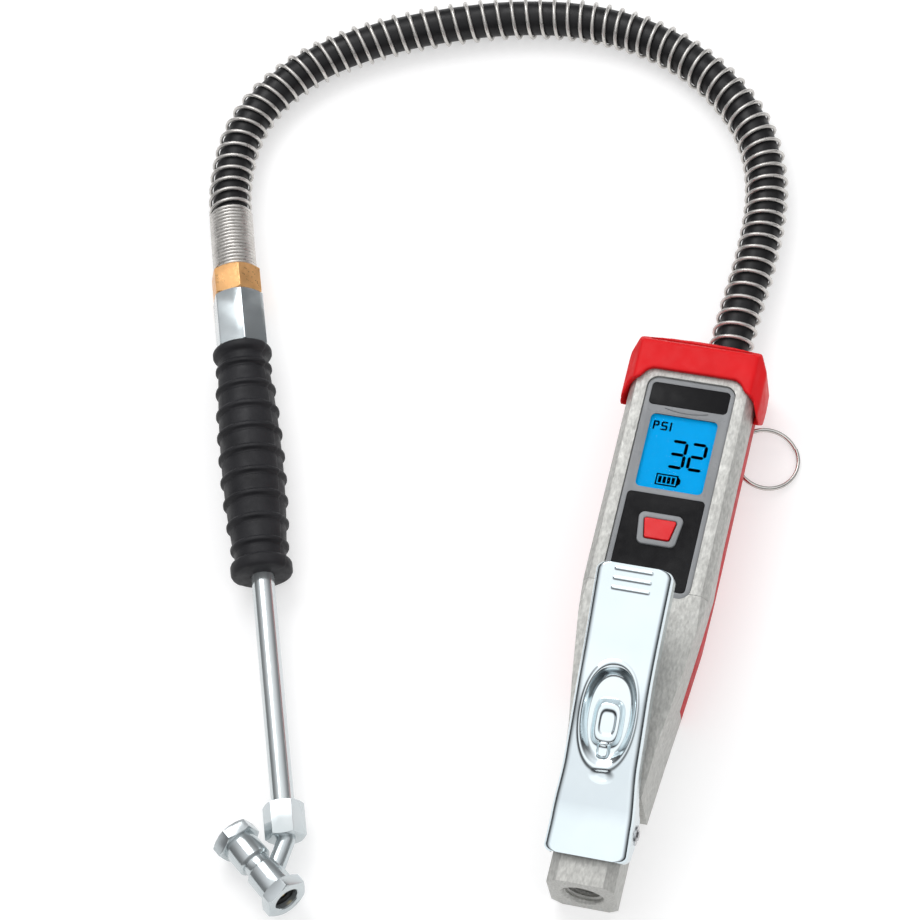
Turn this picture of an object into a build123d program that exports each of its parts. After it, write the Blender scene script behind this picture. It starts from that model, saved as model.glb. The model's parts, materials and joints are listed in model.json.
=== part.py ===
from build123d import *
import math
import os

# Hand-held tyre inflator with a digital gauge, in millimetres.
# The origin is the centre of the air inlet's mouth. The inlet bore runs along +Y towards the
# gauge head, +Z is the side with the display and the lever, and +X is the user's right.
# The tool lies on its back, with the handset beside it on the same surface.

# ---------------------------------------------------------------- driving dimensions
TABLE_Z = -12.5            # surface that the tool lies on
FACE_Z = 20.5              # front rim of the gauge head
HEAD_START = 104.8         # seam between the valve casting and the front shell
SEAM = 0.1                 # gap between two moulded parts
HEAD_END = 199.0           # far end of the two shells, under the bumper
COVER_START = 71.0         # where the rear cover begins
WALL = 2.0                 # shell wall

INLET_MINOR_R = 5.72       # minor radius of a G 1/4 female thread
INLET_DEPTH = 14.0
STRAINER_R = 5.0
PASSAGE_R = 3.0
BOSS_HALF_X = 11.5
BOSS_HALF_Z = 12.0
BOSS_CORNER = 3.5
BOSS_END = 34.0

VALVE_Y = 52.0             # axis of the trigger valve
CHAMBER_R = 4.0
SEAT_R = 3.0
SEAT_Z = 1.5
LOWER_CHAMBER_R = 4.5
PLUG_TOP = -8.0
GLAND_SEAT_Z = 13.8
GLAND_R = 5.45
GLAND_BOTTOM = 8.0
GLAND_TOP = 16.0
STEM_R = 2.0
STEM_RUNNING = 0.04        # radial clearance of a sliding or turning fit

PIVOT_Y = 22.0             # lever pivot
PIVOT_Z = 6.5
PIVOT_R = 2.0
LEVER_HALF_X = 13.4
SHEET = 1.2                # lever sheet thickness

OUTLET_X = 4.0             # outlet port of the valve casting
OUTLET_Z = 5.5
SENSOR_X = -6.5
HOSE_X = 6.2               # where the hose leaves the head
HOSE_Z = -2.5
PORT_FACE_Y = 84.0

FASCIA_HALF_X = 15.4
FASCIA_START = 102.9
FASCIA_END = 184.2
FASCIA_BOTTOM = 17.6
FASCIA_TOP = 19.7
WINDOW = (12.25, 141.6, 170.9)     # half width, first and last Y of the display window
LABEL = (13.8, 173.7, 182.3)
PANEL = (13.6, 105.0, 139.9)
BUTTON_Y = 126.8

HOSE_R = 6.35
HOSE_BORE_R = 3.2
GUARD_R = 8.0              # outside of the wire guard that is wound over the hose
GUARD_IN_R = 6.5
HOSE_HOLE_R = 8.2

HANDSET_ORIGIN = (-177.13, 208.8, 0.59)   # hose end of the brass nut
HANDSET_TURN = 19.5        # degrees between the handset and the tool
NUT_TURN = 14.0            # degrees that both nuts are turned about the handset
HANDSET_DROP = 0.78        # degrees that the handset falls towards its connector
GRIP_START = 32.3
GRIP_END = 122.0
LANCE_R = 4.0
LANCE_BORE_R = 2.6
LANCE_START = 36.0
COLLAR_START = 207.7
COLLAR_END = 219.9

BARREL_CENTRE = (-110.0, -10.2, -2.6)    # middle of the twin connector
BARREL_DIRECTION = (0.786, -0.610, 0.10)
BARREL_R = 6.15
CAP_START = 11.5
CAP_END = 16.0
CAP_MOUTH_R = 4.4
SEAL_R = 4.9
SEAL_HOLE_R = 2.1
SEAL_SHOULDER = 13.6       # a cap's mouth starts here, and the seal sits behind it

RING_R = 11.2              # hanging ring, middle of the wire
RING_WIRE_R = 0.85
RING_EYE = (15.8, 173.0, -6.0)
RING_DROP = 14.3           # degrees below level at which the ring rests

# Free route of the hose, from inside the head to the brass nut.
HOSE_ROUTE = [
    (6.2, 194.0, -2.5), (6.2, 218.0, -2.5), (8.2, 250.0, -4.0), (6.6, 278.0, -4.4),
    (-2.5, 301.0, -4.4), (-20.5, 320.0, -4.4), (-44.0, 333.0, -4.4), (-71.0, 338.5, -4.4),
    (-100.0, 336.0, -4.4), (-129.0, 327.5, -4.4), (-154.5, 316.3, -4.4), (-177.5, 299.5, -4.4),
    (-191.5, 275.0, -4.2), (-190.5, 247.0, -2.4), (-182.47, 223.88, 0.808), (-177.13, 208.8, 0.59),
]
GUARD_START = (6.2, 201.0, -2.5)     # on the first run of the route


# ---------------------------------------------------------------- planes
def station(y):
    """Section plane at y whose local x is X, local y is Z, and whose normal is -Y."""
    return Plane((0, y, 0), x_dir=(1, 0, 0), z_dir=(0, -1, 0))


def side_plane(x):
    """Section plane at x whose local x is Y and local y is Z, with its normal along +X."""
    return Plane((x, 0, 0), x_dir=(0, 1, 0), z_dir=(1, 0, 0))


def along_y(x, y, z):
    """Plane at a point with its normal along +Y."""
    return Plane((x, y, z), x_dir=(1, 0, 0), z_dir=(0, 1, 0))


turn_rad = math.radians(HANDSET_TURN)
drop_rad = math.radians(HANDSET_DROP)
handset = Plane(
    HANDSET_ORIGIN,
    x_dir=(math.cos(turn_rad), math.sin(turn_rad), 0),
    z_dir=(
        math.sin(turn_rad) * math.cos(drop_rad),
        -math.cos(turn_rad) * math.cos(drop_rad),
        -math.sin(drop_rad),
    ),
)
barrel = Plane(BARREL_CENTRE, x_dir=(0.610, 0.786, 0), z_dir=BARREL_DIRECTION)
inlet = along_y(0, 0, 0)
valve = Plane((0, VALVE_Y, 0))


# ---------------------------------------------------------------- shared operations
def turned(plane, outline, mode=Mode.ADD):
    """Revolve a closed outline of (radius, distance) points about the plane's normal."""
    with BuildSketch(Plane(plane.origin, x_dir=plane.x_dir, z_dir=-plane.y_dir)) as section:
        with BuildLine():
            Polyline(*outline, close=True)
        make_face()
    revolve(section.sketch, axis=Axis(plane.origin, plane.z_dir), mode=mode)


def bar(plane, radius, start, end, mode=Mode.ADD):
    """Round bar along the plane's normal, between two distances."""
    with BuildSketch(plane.offset(start)) as section:
        Circle(radius)
    extrude(section.sketch, amount=end - start, mode=mode)


def tube(plane, radius, bore, start, end):
    """Round tube along the plane's normal, between two distances."""
    with BuildSketch(plane.offset(start)) as section:
        Circle(radius)
        Circle(bore, mode=Mode.SUBTRACT)
    extrude(section.sketch, amount=end - start)


def hexagon(plane, across_flats, start, end, rotation=0.0):
    """Hexagonal bar with its corners turned down by a small cone at each end."""
    corner = across_flats / math.sqrt(3)
    flat = across_flats / 2
    bevel = (corner - flat) * 0.9
    slope = bevel * 0.6
    with BuildSketch(plane.offset(start)) as section:
        RegularPolygon(corner, 6, rotation=rotation)
    extrude(section.sketch, amount=end - start)
    turned(
        plane,
        [(0, start), (corner - bevel, start), (corner + 0.1, start + slope), (corner + 0.1, end - slope),
         (corner - bevel, end), (0, end)],
        mode=Mode.INTERSECT,
    )


def prism(plane, outline, amount, mode=Mode.ADD):
    """Extrude a closed polygon from the plane."""
    with BuildSketch(plane) as section:
        with BuildLine():
            Polyline(*outline, close=True)
        make_face()
    extrude(section.sketch, amount=amount, mode=mode)


def block(x_range, y_range, z_range, mode=Mode.ADD):
    """Axis-aligned block between three pairs of coordinates."""
    with BuildSketch(Plane.XY.offset(z_range[0])) as section:
        with Locations(((x_range[0] + x_range[1]) / 2, (y_range[0] + y_range[1]) / 2)):
            Rectangle(x_range[1] - x_range[0], y_range[1] - y_range[0])
    extrude(section.sketch, amount=z_range[1] - z_range[0], mode=mode)


def rounded_plate(half_x, y_range, z_range, radius, mode=Mode.ADD):
    """Flat plate with rounded corners, symmetric about X = 0."""
    with BuildSketch(Plane.XY.offset(z_range[0])) as section:
        with Locations((0, (y_range[0] + y_range[1]) / 2)):
            RectangleRounded(2 * half_x, y_range[1] - y_range[0], radius)
    extrude(section.sketch, amount=z_range[1] - z_range[0], mode=mode)


def mirrored(half):
    """Whole symmetric outline from the points of its +X half, in order."""
    return half + [(-x, y) for x, y in reversed(half) if x > 0]


def keystone(grow):
    """Outline of the button: a rounded trapezoid, wider towards the display."""
    top = 5.7 + grow
    bottom = 4.3 + grow
    half = 3.7 + grow
    return [(-bottom, BUTTON_Y - half), (bottom, BUTTON_Y - half), (top, BUTTON_Y + half),
            (-top, BUTTON_Y + half)]


def keystone_plate(grow, z_range, radius, mode=Mode.ADD):
    """Extrude the button's outline, grown by a margin, with rounded corners."""
    with BuildSketch(Plane.XY.offset(z_range[0])) as section:
        with BuildLine():
            Polyline(*keystone(grow), close=True)
        make_face()
        fillet(section.vertices(), radius)
    extrude(section.sketch, amount=z_range[1] - z_range[0], mode=mode)


# ---------------------------------------------------------------- outer form of head and casting
# Half section of the head: front flat, bevel, side wall, tapered back.
HEAD_SECTION = [(19.5, FACE_Z), (21.9, 17.0), (22.2, 12.0), (22.2, 5.0), (20.6, -3.5), (15.5, TABLE_Z)]
# Half plan: casting, flank, head, rounded head corners.
HEAD_PLAN = [(13.8, 33.0), (15.5, 54.0), (17.9, COVER_START), (21.0, 97.0), (22.3, 110.0),
             (22.3, HEAD_END - 6.5),
             (18.0, HEAD_END)]
# Side outline of the valve casting's front face, which falls towards the inlet.
FACE_LINE = [(33.0, 12.4), (HEAD_START, FACE_Z)]
# Split between the grey castings and the rear cover.
SPLIT_LINE = [(COVER_START, -1.0), (125.0, 12.0), (HEAD_END + 4, 12.0)]


def head_form(start, end):
    """Solid of the outer form between two stations."""
    prism(station(start), mirrored(HEAD_SECTION), start - end)
    prism(Plane.XY.offset(-40), mirrored(HEAD_PLAN)[::-1], 80, mode=Mode.INTERSECT)


def trim_to_head():
    """Keep only what lies inside the outer form and behind the split line."""
    prism(Plane.XY.offset(-40), mirrored(HEAD_PLAN)[::-1], 80, mode=Mode.INTERSECT)
    prism(station(COVER_START), mirrored(HEAD_SECTION), COVER_START - HEAD_END, mode=Mode.INTERSECT)
    below_split(Mode.INTERSECT)


def above_split(mode):
    """Region in front of the split line, clear of it by the seam."""
    points = [(y, z + SEAM) for y, z in SPLIT_LINE]
    outline = [(COVER_START - SEAM, -40), (COVER_START - SEAM, points[0][1]), *points, (HEAD_END + 4, 60),
               (0, 60), (0, -40)]
    prism(side_plane(-40), outline, 80, mode=mode)


def below_split(mode):
    """Region behind the split line."""
    prism(side_plane(-40), [(COVER_START, -40), *SPLIT_LINE, (HEAD_END + 4, -40)], 80, mode=mode)


SCREW_SITES = [(-15.6, 111.5), (15.6, 111.5), (-16.4, 193.5), (16.4, 193.5)]
VALVE_SCREW_SITES = [(-11.5, 78.5), (11.5, 78.5)]

# ---------------------------------------------------------------- valve casting
with BuildPart() as valve_body:
    head_form(HEAD_PLAN[0][1], HEAD_START)
    prism(
        side_plane(-40),
        [(20, -40), *FACE_LINE, (HEAD_START, -40)],
        80,
        mode=Mode.INTERSECT,
    )
    above_split(Mode.INTERSECT)
    # square boss with the inlet
    corner = BOSS_CORNER
    prism(
        station(0),
        [(-BOSS_HALF_X + corner, -BOSS_HALF_Z), (BOSS_HALF_X - corner, -BOSS_HALF_Z),
         (BOSS_HALF_X, -BOSS_HALF_Z + corner), (BOSS_HALF_X, BOSS_HALF_Z - corner),
         (BOSS_HALF_X - corner, BOSS_HALF_Z), (-BOSS_HALF_X + corner, BOSS_HALF_Z),
         (-BOSS_HALF_X, BOSS_HALF_Z - corner), (-BOSS_HALF_X, -BOSS_HALF_Z + corner)],
        -BOSS_END,
    )
    # hollow behind the front face, open towards the head
    prism(
        side_plane(-14.5),
        [(PORT_FACE_Y, -40), (PORT_FACE_Y, 15.2), (HEAD_START + 1, 17.2), (HEAD_START + 1, -40)],
        29,
        mode=Mode.SUBTRACT,
    )
    # outlet and sensor bosses
    bar(along_y(OUTLET_X, 0, OUTLET_Z), 5.2, 70.0, PORT_FACE_Y + 6)
    # inlet bore
    turned(
        inlet,
        [(0, -1), (INLET_MINOR_R, -1), (INLET_MINOR_R, INLET_DEPTH), (STRAINER_R + 0.05, INLET_DEPTH),
         (STRAINER_R + 0.05, INLET_DEPTH + 2.0), (PASSAGE_R, INLET_DEPTH + 4.0),
         (PASSAGE_R, VALVE_Y - LOWER_CHAMBER_R + 0.6),
         (0, VALVE_Y - LOWER_CHAMBER_R + 0.6)],
        mode=Mode.SUBTRACT,
    )
    # valve bore, from the front face down to the plug
    turned(
        valve,
        [(0, TABLE_Z - 1), (5.5, TABLE_Z - 1), (5.5, PLUG_TOP), (LOWER_CHAMBER_R, PLUG_TOP),
         (LOWER_CHAMBER_R, SEAT_Z), (SEAT_R, SEAT_Z), (SEAT_R, SEAT_Z + 1.5), (CHAMBER_R, SEAT_Z + 1.5),
         (CHAMBER_R, GLAND_BOTTOM), (GLAND_R + 0.05, GLAND_BOTTOM), (GLAND_R + 0.05, GLAND_SEAT_Z),
         (8.3, GLAND_SEAT_Z), (8.3, 40), (0, 40)],
        mode=Mode.SUBTRACT,
    )
    # outlet port and sensor port
    bar(along_y(OUTLET_X, 0, OUTLET_Z), 2.2, VALVE_Y, 85.0, mode=Mode.SUBTRACT)
    bar(along_y(OUTLET_X, 0, OUTLET_Z), 3.02, 82.0, 95.0, mode=Mode.SUBTRACT)
    bar(along_y(-3.2, 0, OUTLET_Z), 1.0, VALVE_Y + 2, 90.0, mode=Mode.SUBTRACT)
    # pivot hole and seat for the fascia's lower edge
    bar(side_plane(-20).shift_origin((-20, PIVOT_Y, PIVOT_Z)), PIVOT_R + 0.02, 0, 40, mode=Mode.SUBTRACT)
    rounded_plate(FASCIA_HALF_X + 0.2, (FASCIA_START - 0.2, FASCIA_END), (FASCIA_BOTTOM - 0.1, 30), 4.0,
                  mode=Mode.SUBTRACT)
    # blind holes for the screws that hold the rear cover
    for x, y in VALVE_SCREW_SITES:
        bar(Plane((x, y, 0)), 1.25, -20, 12.5, mode=Mode.SUBTRACT)
valve_body.part.label = "valve_body"

# ---------------------------------------------------------------- front shell
with BuildPart() as front_shell:
    head_form(HEAD_START + SEAM, HEAD_END)
    above_split(Mode.INTERSECT)
    prism(
        station(HEAD_START - 1.0),
        mirrored([(19.0, 15.5), (20.1, 12.0), (20.1, -40)]),
        -(HEAD_END - WALL - HEAD_START + 1.0),
        mode=Mode.SUBTRACT,
    )
    for x, y in SCREW_SITES:
        bar(Plane((x, y, 0)), 3.2, 12.2, 16.0)
        bar(Plane((x, y, 0)), 1.25, 0, 15.0, mode=Mode.SUBTRACT)
    rounded_plate(FASCIA_HALF_X + 0.2, (FASCIA_START - 0.2, FASCIA_END + 0.2), (FASCIA_BOTTOM - 0.1, 30), 4.0,
                  mode=Mode.SUBTRACT)
    rounded_plate(13.4, (118.0, 182.5), (10, 30), 2.0, mode=Mode.SUBTRACT)
    # bevelled far edge, under the bumper's slope
    prism(side_plane(-30), [(HEAD_END - 1.6, FACE_Z + 0.1), (HEAD_END + 0.1, FACE_Z - 1.6),
                            (HEAD_END + 0.1, FACE_Z + 0.1)], 60, mode=Mode.SUBTRACT)
front_shell.part.label = "front_shell"

# ---------------------------------------------------------------- rear cover
NOTCH_X = 12.5
NOTCH_Y = (162.5, 183.5)
NOTCH_TOP = -1.0
DOOR_X = (-19.0, 3.4)
DOOR_SCREW = (-4.0, 175.2)
DOOR_Y = (122.0, 177.0)
BAY_WALLS = (124.6, 171.6)
with BuildPart() as rear_cover:
    head_form(COVER_START, HEAD_END)
    below_split(Mode.INTERSECT)
    # hollow
    prism(
        station(COVER_START + 4),
        mirrored([(18.6, 30), (18.6, -3.0), (14.3, TABLE_Z + WALL)]),
        -(HEAD_END - WALL - COVER_START - 4),
        mode=Mode.SUBTRACT,
    )
    # thicken the flank of the narrow end
    for sign in (-1, 1):
        prism(
            Plane.XY.offset(TABLE_Z),
            [(sign * 30, COVER_START), (sign * 15.9, COVER_START), (sign * 16.0, 73.0), (sign * 19.0, 97.0),
             (sign * 20.1, 109.0), (sign * 30, 112.0)],
            40,
        )
    trim_to_head()
    # screw pillars
    for x, y in SCREW_SITES:
        bar(Plane((x, y, 0)), 3.2, -11.0, 11.9)
    for x, y in VALVE_SCREW_SITES:
        bar(Plane((x, y, 0)), 3.0, -11.5, -0.5)
    # wall round the ring's notch
    block((NOTCH_X - WALL, 20.0), (NOTCH_Y[0] - WALL, NOTCH_Y[1] + WALL), (-11.5, NOTCH_TOP + WALL))
    # battery bay walls
    for wall_y in BAY_WALLS:
        block((DOOR_X[0] - 0.5, 2.9), (wall_y, wall_y + 1.4), (-11.0, 3.0))
    trim_to_head()
    # screw holes
    for x, y in SCREW_SITES:
        bar(Plane((x, y, 0)), 1.6, -20, 20, mode=Mode.SUBTRACT)
        bar(Plane((x, y, 0)), 2.5, -20, -3.0, mode=Mode.SUBTRACT)
    for x, y in VALVE_SCREW_SITES:
        bar(Plane((x, y, 0)), 1.6, -20, 20, mode=Mode.SUBTRACT)
        bar(Plane((x, y, 0)), 2.5, -20, -7.0, mode=Mode.SUBTRACT)
    # notch, with an eye for the ring
    block((NOTCH_X, 30), NOTCH_Y, (-20, NOTCH_TOP), mode=Mode.SUBTRACT)
    with BuildSketch(along_y(0, RING_EYE[1] - 1.2, 0)) as eye:
        with Locations((RING_EYE[0], -RING_EYE[2])):
            Circle(2.6)
        with Locations(((RING_EYE[0] + NOTCH_X) / 2 - 0.5, -RING_EYE[2])):
            Rectangle(RING_EYE[0] - NOTCH_X + 1.0, 5.2)
        with Locations((RING_EYE[0], -RING_EYE[2])):
            Circle(1.15, mode=Mode.SUBTRACT)
    extrude(eye.sketch, amount=2.4)
    # battery door opening and its screw hole, hose hole, recess for the bumper's back
    block(DOOR_X, DOOR_Y, (-20, TABLE_Z + WALL + 0.01), mode=Mode.SUBTRACT)
    block((DOOR_X[0] + 1.5, DOOR_X[1] - 1.2), (BAY_WALLS[0] + 1.4, BAY_WALLS[1]), (-20, -5),
          mode=Mode.SUBTRACT)
    block((DOOR_SCREW[0] - 4.0, DOOR_SCREW[0] + 4.0), (BAY_WALLS[1] + 1.0, DOOR_Y[1] + 3.6),
          (TABLE_Z + WALL, TABLE_Z + WALL + 4.5))
    bar(Plane((*DOOR_SCREW, 0)), 1.0, -20, -6.6, mode=Mode.SUBTRACT)
    block((-30, 30), (187.0, HEAD_END + 1), (-20, -9.9), mode=Mode.SUBTRACT)
    bar(along_y(HOSE_X, 0, HOSE_Z), HOSE_HOLE_R, HEAD_END - WALL - 2, HEAD_END + 1, mode=Mode.SUBTRACT)
rear_cover.part.label = "rear_cover"

# ---------------------------------------------------------------- bumper
BUMPER_START = 175.0
BUMPER_END = HEAD_END + 2.2
BUMPER_HALF_PLAN = [(24.9, BUMPER_START), (24.9, HEAD_END - 14.2), (24.0, HEAD_END - 5.7),
                    (21.3, BUMPER_END - 2.2),
                    (10.0, BUMPER_END - 0.4), (0.0, BUMPER_END)]
BUMPER_HALF_SECTION = [(20.4, FACE_Z + 2.3), (24.2, 18.3), (24.9, 12.0), (24.9, 4.0), (22.6, -5.0),
                       (17.6, TABLE_Z + 0.1)]
BUMPER_WINDOW = [(14.4, 186.5), (16.6, 185.2), (18.3, 182.6), (21.8, 180.6), (24.0, BUMPER_START + 0.1),
                 (30.0, 162.0)]
BUMPER_SLOPE = [(HEAD_END - 2.4, FACE_Z + 2.3), (BUMPER_END, 17.8), (BUMPER_END + 5, 12.4),
                (BUMPER_END + 5, 30),
                (HEAD_END - 2.4, 30)]
with BuildPart() as bumper:
    prism(station(BUMPER_START), mirrored(BUMPER_HALF_SECTION), -(BUMPER_END + 0.1 - BUMPER_START))
    with BuildSketch(Plane.XY.offset(-40)) as bumper_plan:
        with BuildLine():
            Polyline(*mirrored(BUMPER_HALF_PLAN), close=True)
        make_face()
    extrude(bumper_plan.sketch, amount=80, mode=Mode.INTERSECT)
    fillet(bumper.edges().filter_by(Axis.Y).group_by(Axis.Z)[-1], 1.5)
    # room for the shells, with a small gap
    prism(station(160.0), mirrored([(x + 0.05, z + (0.05 if z > 0 else 0)) for x, z in HEAD_SECTION]),
          -(HEAD_END - 6.5 - 160.0), mode=Mode.SUBTRACT)
    with BuildSketch(Plane.XY.offset(-9.95)) as shell_end:
        with BuildLine():
            Polyline(*mirrored([(22.35, 186.0), (22.35, HEAD_END - 6.45), (18.05, HEAD_END + 0.05)]),
                     close=True)
        make_face()
    extrude(shell_end.sketch, amount=FACE_Z + 0.05 + 9.95, mode=Mode.SUBTRACT)
    # the back covers only the recess, the lobes end clear of the hanging ring
    prism(Plane.XY.offset(12.5), mirrored(BUMPER_WINDOW)[::-1], 30, mode=Mode.SUBTRACT)
    prism(side_plane(-30), [(160, 12.6), (BUMPER_START + 0.1, 12.6), (179.0, 5.0), (187.05, 3.0),
                            (187.05, -30), (160, -30)], 60,
          mode=Mode.SUBTRACT)
    bar(along_y(HOSE_X, 0, HOSE_Z), HOSE_HOLE_R, 190, 210, mode=Mode.SUBTRACT)
    # the far edge of the front slopes back
    prism(side_plane(-30), BUMPER_SLOPE, 60, mode=Mode.SUBTRACT)
bumper.part.label = "bumper"

# ---------------------------------------------------------------- display and keypad
with BuildPart() as fascia:
    rounded_plate(FASCIA_HALF_X, (FASCIA_START, FASCIA_END), (FASCIA_BOTTOM, FASCIA_TOP), 3.9)
    block((-WINDOW[0], WINDOW[0]), WINDOW[1:], (0, 40), mode=Mode.SUBTRACT)
    rounded_plate(LABEL[0] + 0.05, (LABEL[1] - 0.05, LABEL[2] + 0.05), (FASCIA_TOP - 0.6, 40), 1.55,
                  mode=Mode.SUBTRACT)
    rounded_plate(PANEL[0] + 0.05, (PANEL[1] - 0.05, PANEL[2] + 0.05), (FASCIA_TOP - 0.5, 40), 1.55,
                  mode=Mode.SUBTRACT)
    keystone_plate(2.35, (0, 40), 2.2, mode=Mode.SUBTRACT)
fascia.part.label = "fascia"

with BuildPart() as label_plate:
    rounded_plate(LABEL[0], LABEL[1:], (FASCIA_TOP - 0.55, FASCIA_TOP + 0.05), 1.5)
label_plate.part.label = "label_plate"

with BuildPart() as keypad_panel:
    rounded_plate(PANEL[0], PANEL[1:], (FASCIA_TOP - 0.45, FASCIA_TOP + 0.05), 1.5)
    keystone_plate(2.35, (0, 40), 2.2, mode=Mode.SUBTRACT)
keypad_panel.part.label = "keypad_panel"

with BuildPart() as button_bezel:
    keystone_plate(2.3, (FASCIA_BOTTOM + 0.1, FASCIA_TOP + 0.7), 2.15)
    keystone_plate(0.25, (0, 40), 1.0, mode=Mode.SUBTRACT)
button_bezel.part.label = "button_bezel"

with BuildPart() as scale_button:
    keystone_plate(0.0, (16.6, FASCIA_TOP + 1.0), 0.8)
    fillet(scale_button.faces().sort_by(Axis.Z)[-1].edges(), 0.35)
    keystone_plate(1.0, (15.6, 16.6), 1.2)
scale_button.part.label = "scale_button"

with BuildPart() as display_lens:
    block((-WINDOW[0] + 0.1, WINDOW[0] - 0.1), (WINDOW[1] + 0.1, WINDOW[2] - 0.1), (18.3, 19.5))
display_lens.part.label = "display_lens"

BOARD_Z = 12.6
BOARD_TOP = BOARD_Z + 1.6
with BuildPart() as display_module:
    block((-13.0, 13.0), (139.8, 172.4), (BOARD_TOP, 17.2))
    block((-12.0, 12.0), (141.8, 170.7), (17.2, 18.2))
display_module.part.label = "display_module"

with BuildPart() as circuit_board:
    block((-13.6, 13.6), (119.0, 182.0), (BOARD_Z, BOARD_TOP))
    for x, y in [(-11.5, 121.2), (11.5, 121.2), (-11.5, 179.5), (11.5, 179.5)]:
        bar(Plane((x, y, 0)), 1.1, 0, 20, mode=Mode.SUBTRACT)
    block((-6.0, 4.0), (150.0, 160.0), (BOARD_Z - 1.4, BOARD_Z))
    block((7.0, 10.0), (150.0, 155.0), (BOARD_Z - 1.0, BOARD_Z))
circuit_board.part.label = "circuit_board"

with BuildPart() as button_switch:
    block((-3.0, 3.0), (BUTTON_Y - 3.0, BUTTON_Y + 3.0), (BOARD_TOP, BOARD_TOP + 0.45))
button_switch.part.label = "button_switch"

# ---------------------------------------------------------------- batteries
CELL_R = 5.2
CELL_X = (-11.6, -1.0)
CELL_Z = -3.4
CELL_Y = (127.0, 170.0)
with BuildPart() as batteries:
    for x in CELL_X:
        tube_plane = along_y(x, 0, CELL_Z)
        turned(
            tube_plane,
            [(0, CELL_Y[0]), (CELL_R - 0.4, CELL_Y[0]), (CELL_R, CELL_Y[0] + 0.4), (CELL_R, CELL_Y[1] - 0.4),
             (CELL_R - 0.4, CELL_Y[1]), (1.9, CELL_Y[1]), (1.9, CELL_Y[1] + 0.8), (0, CELL_Y[1] + 0.8)],
        )
batteries.part.label = "batteries"

with BuildPart() as battery_contacts:
    for y in (BAY_WALLS[0] + 1.5, BAY_WALLS[1] - 0.5):
        for x in CELL_X:
            block((x - 4.0, x + 4.0), (y, y + 0.4), (CELL_Z - 4.0, CELL_Z + 4.0))
battery_contacts.part.label = "battery_contacts"

with BuildPart() as battery_door:
    block((DOOR_X[0] + 0.2, DOOR_X[1] - 0.2), (DOOR_Y[0] + 0.2, DOOR_Y[1] - 0.2),
          (TABLE_Z, TABLE_Z + WALL - 0.1))
    prism(station(DOOR_Y[0]), mirrored(HEAD_SECTION), -(DOOR_Y[1] - DOOR_Y[0]), mode=Mode.INTERSECT)
    bar(Plane((*DOOR_SCREW, 0)), 1.2, -20, 0, mode=Mode.SUBTRACT)
battery_door.part.label = "battery_door"

# ---------------------------------------------------------------- fasteners of the head
with BuildPart() as battery_door_screw:
    bar(Plane((*DOOR_SCREW, 0)), 1.15, TABLE_Z + 0.1, TABLE_Z + WALL)
    bar(Plane((*DOOR_SCREW, 0)), 0.95, TABLE_Z + WALL, -7.0)
battery_door_screw.part.label = "battery_door_screw"


def self_tapping_screw(site, head_z, tip_z):
    """Pan-head screw pointing up, with a cross recess."""
    turned(
        Plane((*site, 0)),
        [(0, head_z - 2.0), (1.8, head_z - 2.0), (2.3, head_z - 1.4), (2.3, head_z), (1.2, head_z),
         (1.2, tip_z - 1.0), (0, tip_z)],
    )
    for size in ((2.4, 0.6), (0.6, 2.4)):
        block((site[0] - size[0] / 2, site[0] + size[0] / 2), (site[1] - size[1] / 2, site[1] + size[1] / 2),
              (head_z - 2.1, head_z - 1.0), mode=Mode.SUBTRACT)


with BuildPart() as case_screws:
    for site in SCREW_SITES:
        self_tapping_screw(site, -3.0, 14.6)
case_screws.part.label = "case_screws"

with BuildPart() as valve_screws:
    for site in VALVE_SCREW_SITES:
        self_tapping_screw(site, -7.0, 11.0)
valve_screws.part.label = "valve_screws"

# ---------------------------------------------------------------- trigger valve
with BuildPart() as plunger_gland:
    hexagon(valve, 13.0, GLAND_SEAT_Z, GLAND_TOP)
    bar(valve, GLAND_R, GLAND_BOTTOM, GLAND_SEAT_Z)
    bar(valve, STEM_R + STEM_RUNNING, 0, 30, mode=Mode.SUBTRACT)
    bar(valve, 3.6, GLAND_BOTTOM - 1, GLAND_BOTTOM + 2.0, mode=Mode.SUBTRACT)
plunger_gland.part.label = "plunger_gland"

with BuildPart() as plunger_seal:
    tube(valve, 3.5, STEM_R + 0.05, GLAND_BOTTOM + 0.2, GLAND_BOTTOM + 1.9)
plunger_seal.part.label = "plunger_seal"

DOME_CENTRE_Z = 23.9
DOME_R = 2.5
PLUNGER_TIP = 3.95
with BuildPart() as valve_plunger:
    turned(
        valve,
        [(0, PLUNGER_TIP), (1.3, PLUNGER_TIP), (1.3, 7.0), (STEM_R, 7.8), (STEM_R, 22.6), (4.2, 22.6),
         (4.2, 23.4),
         (DOME_R, 23.4), (DOME_R, DOME_CENTRE_Z), (0, DOME_CENTRE_Z)],
    )
    with Locations((0, VALVE_Y, DOME_CENTRE_Z)):
        Sphere(DOME_R)
valve_plunger.part.label = "valve_plunger"

with BuildPart() as lever_spring:
    tube(valve, 3.9, 2.9, GLAND_TOP + 0.05, 22.55)
lever_spring.part.label = "lever_spring"

with BuildPart() as inlet_poppet:
    turned(
        valve,
        [(0, SEAT_Z + 0.9), (1.3, SEAT_Z + 0.9), (1.3, 0.2), (4.1, 0.2), (4.1, -2.4), (2.0, -2.4),
         (2.0, -4.6), (0, -4.6)],
    )
inlet_poppet.part.label = "inlet_poppet"

with BuildPart() as poppet_seal:
    tube(valve, 4.0, 1.32, 0.22, SEAT_Z - 0.05)
poppet_seal.part.label = "poppet_seal"

with BuildPart() as poppet_spring:
    tube(valve, 4.0, 2.3, PLUG_TOP + 0.05, -2.45)
poppet_spring.part.label = "poppet_spring"

with BuildPart() as valve_plug:
    bar(valve, 5.45, -11.8, PLUG_TOP - 0.9)
    bar(valve, 4.0, PLUG_TOP - 0.9, PLUG_TOP - 0.02)
    with BuildSketch(valve.offset(-11.8)) as socket:
        RegularPolygon(2.5, 6)
    extrude(socket.sketch, amount=2.2, mode=Mode.SUBTRACT)
valve_plug.part.label = "valve_plug"

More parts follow.
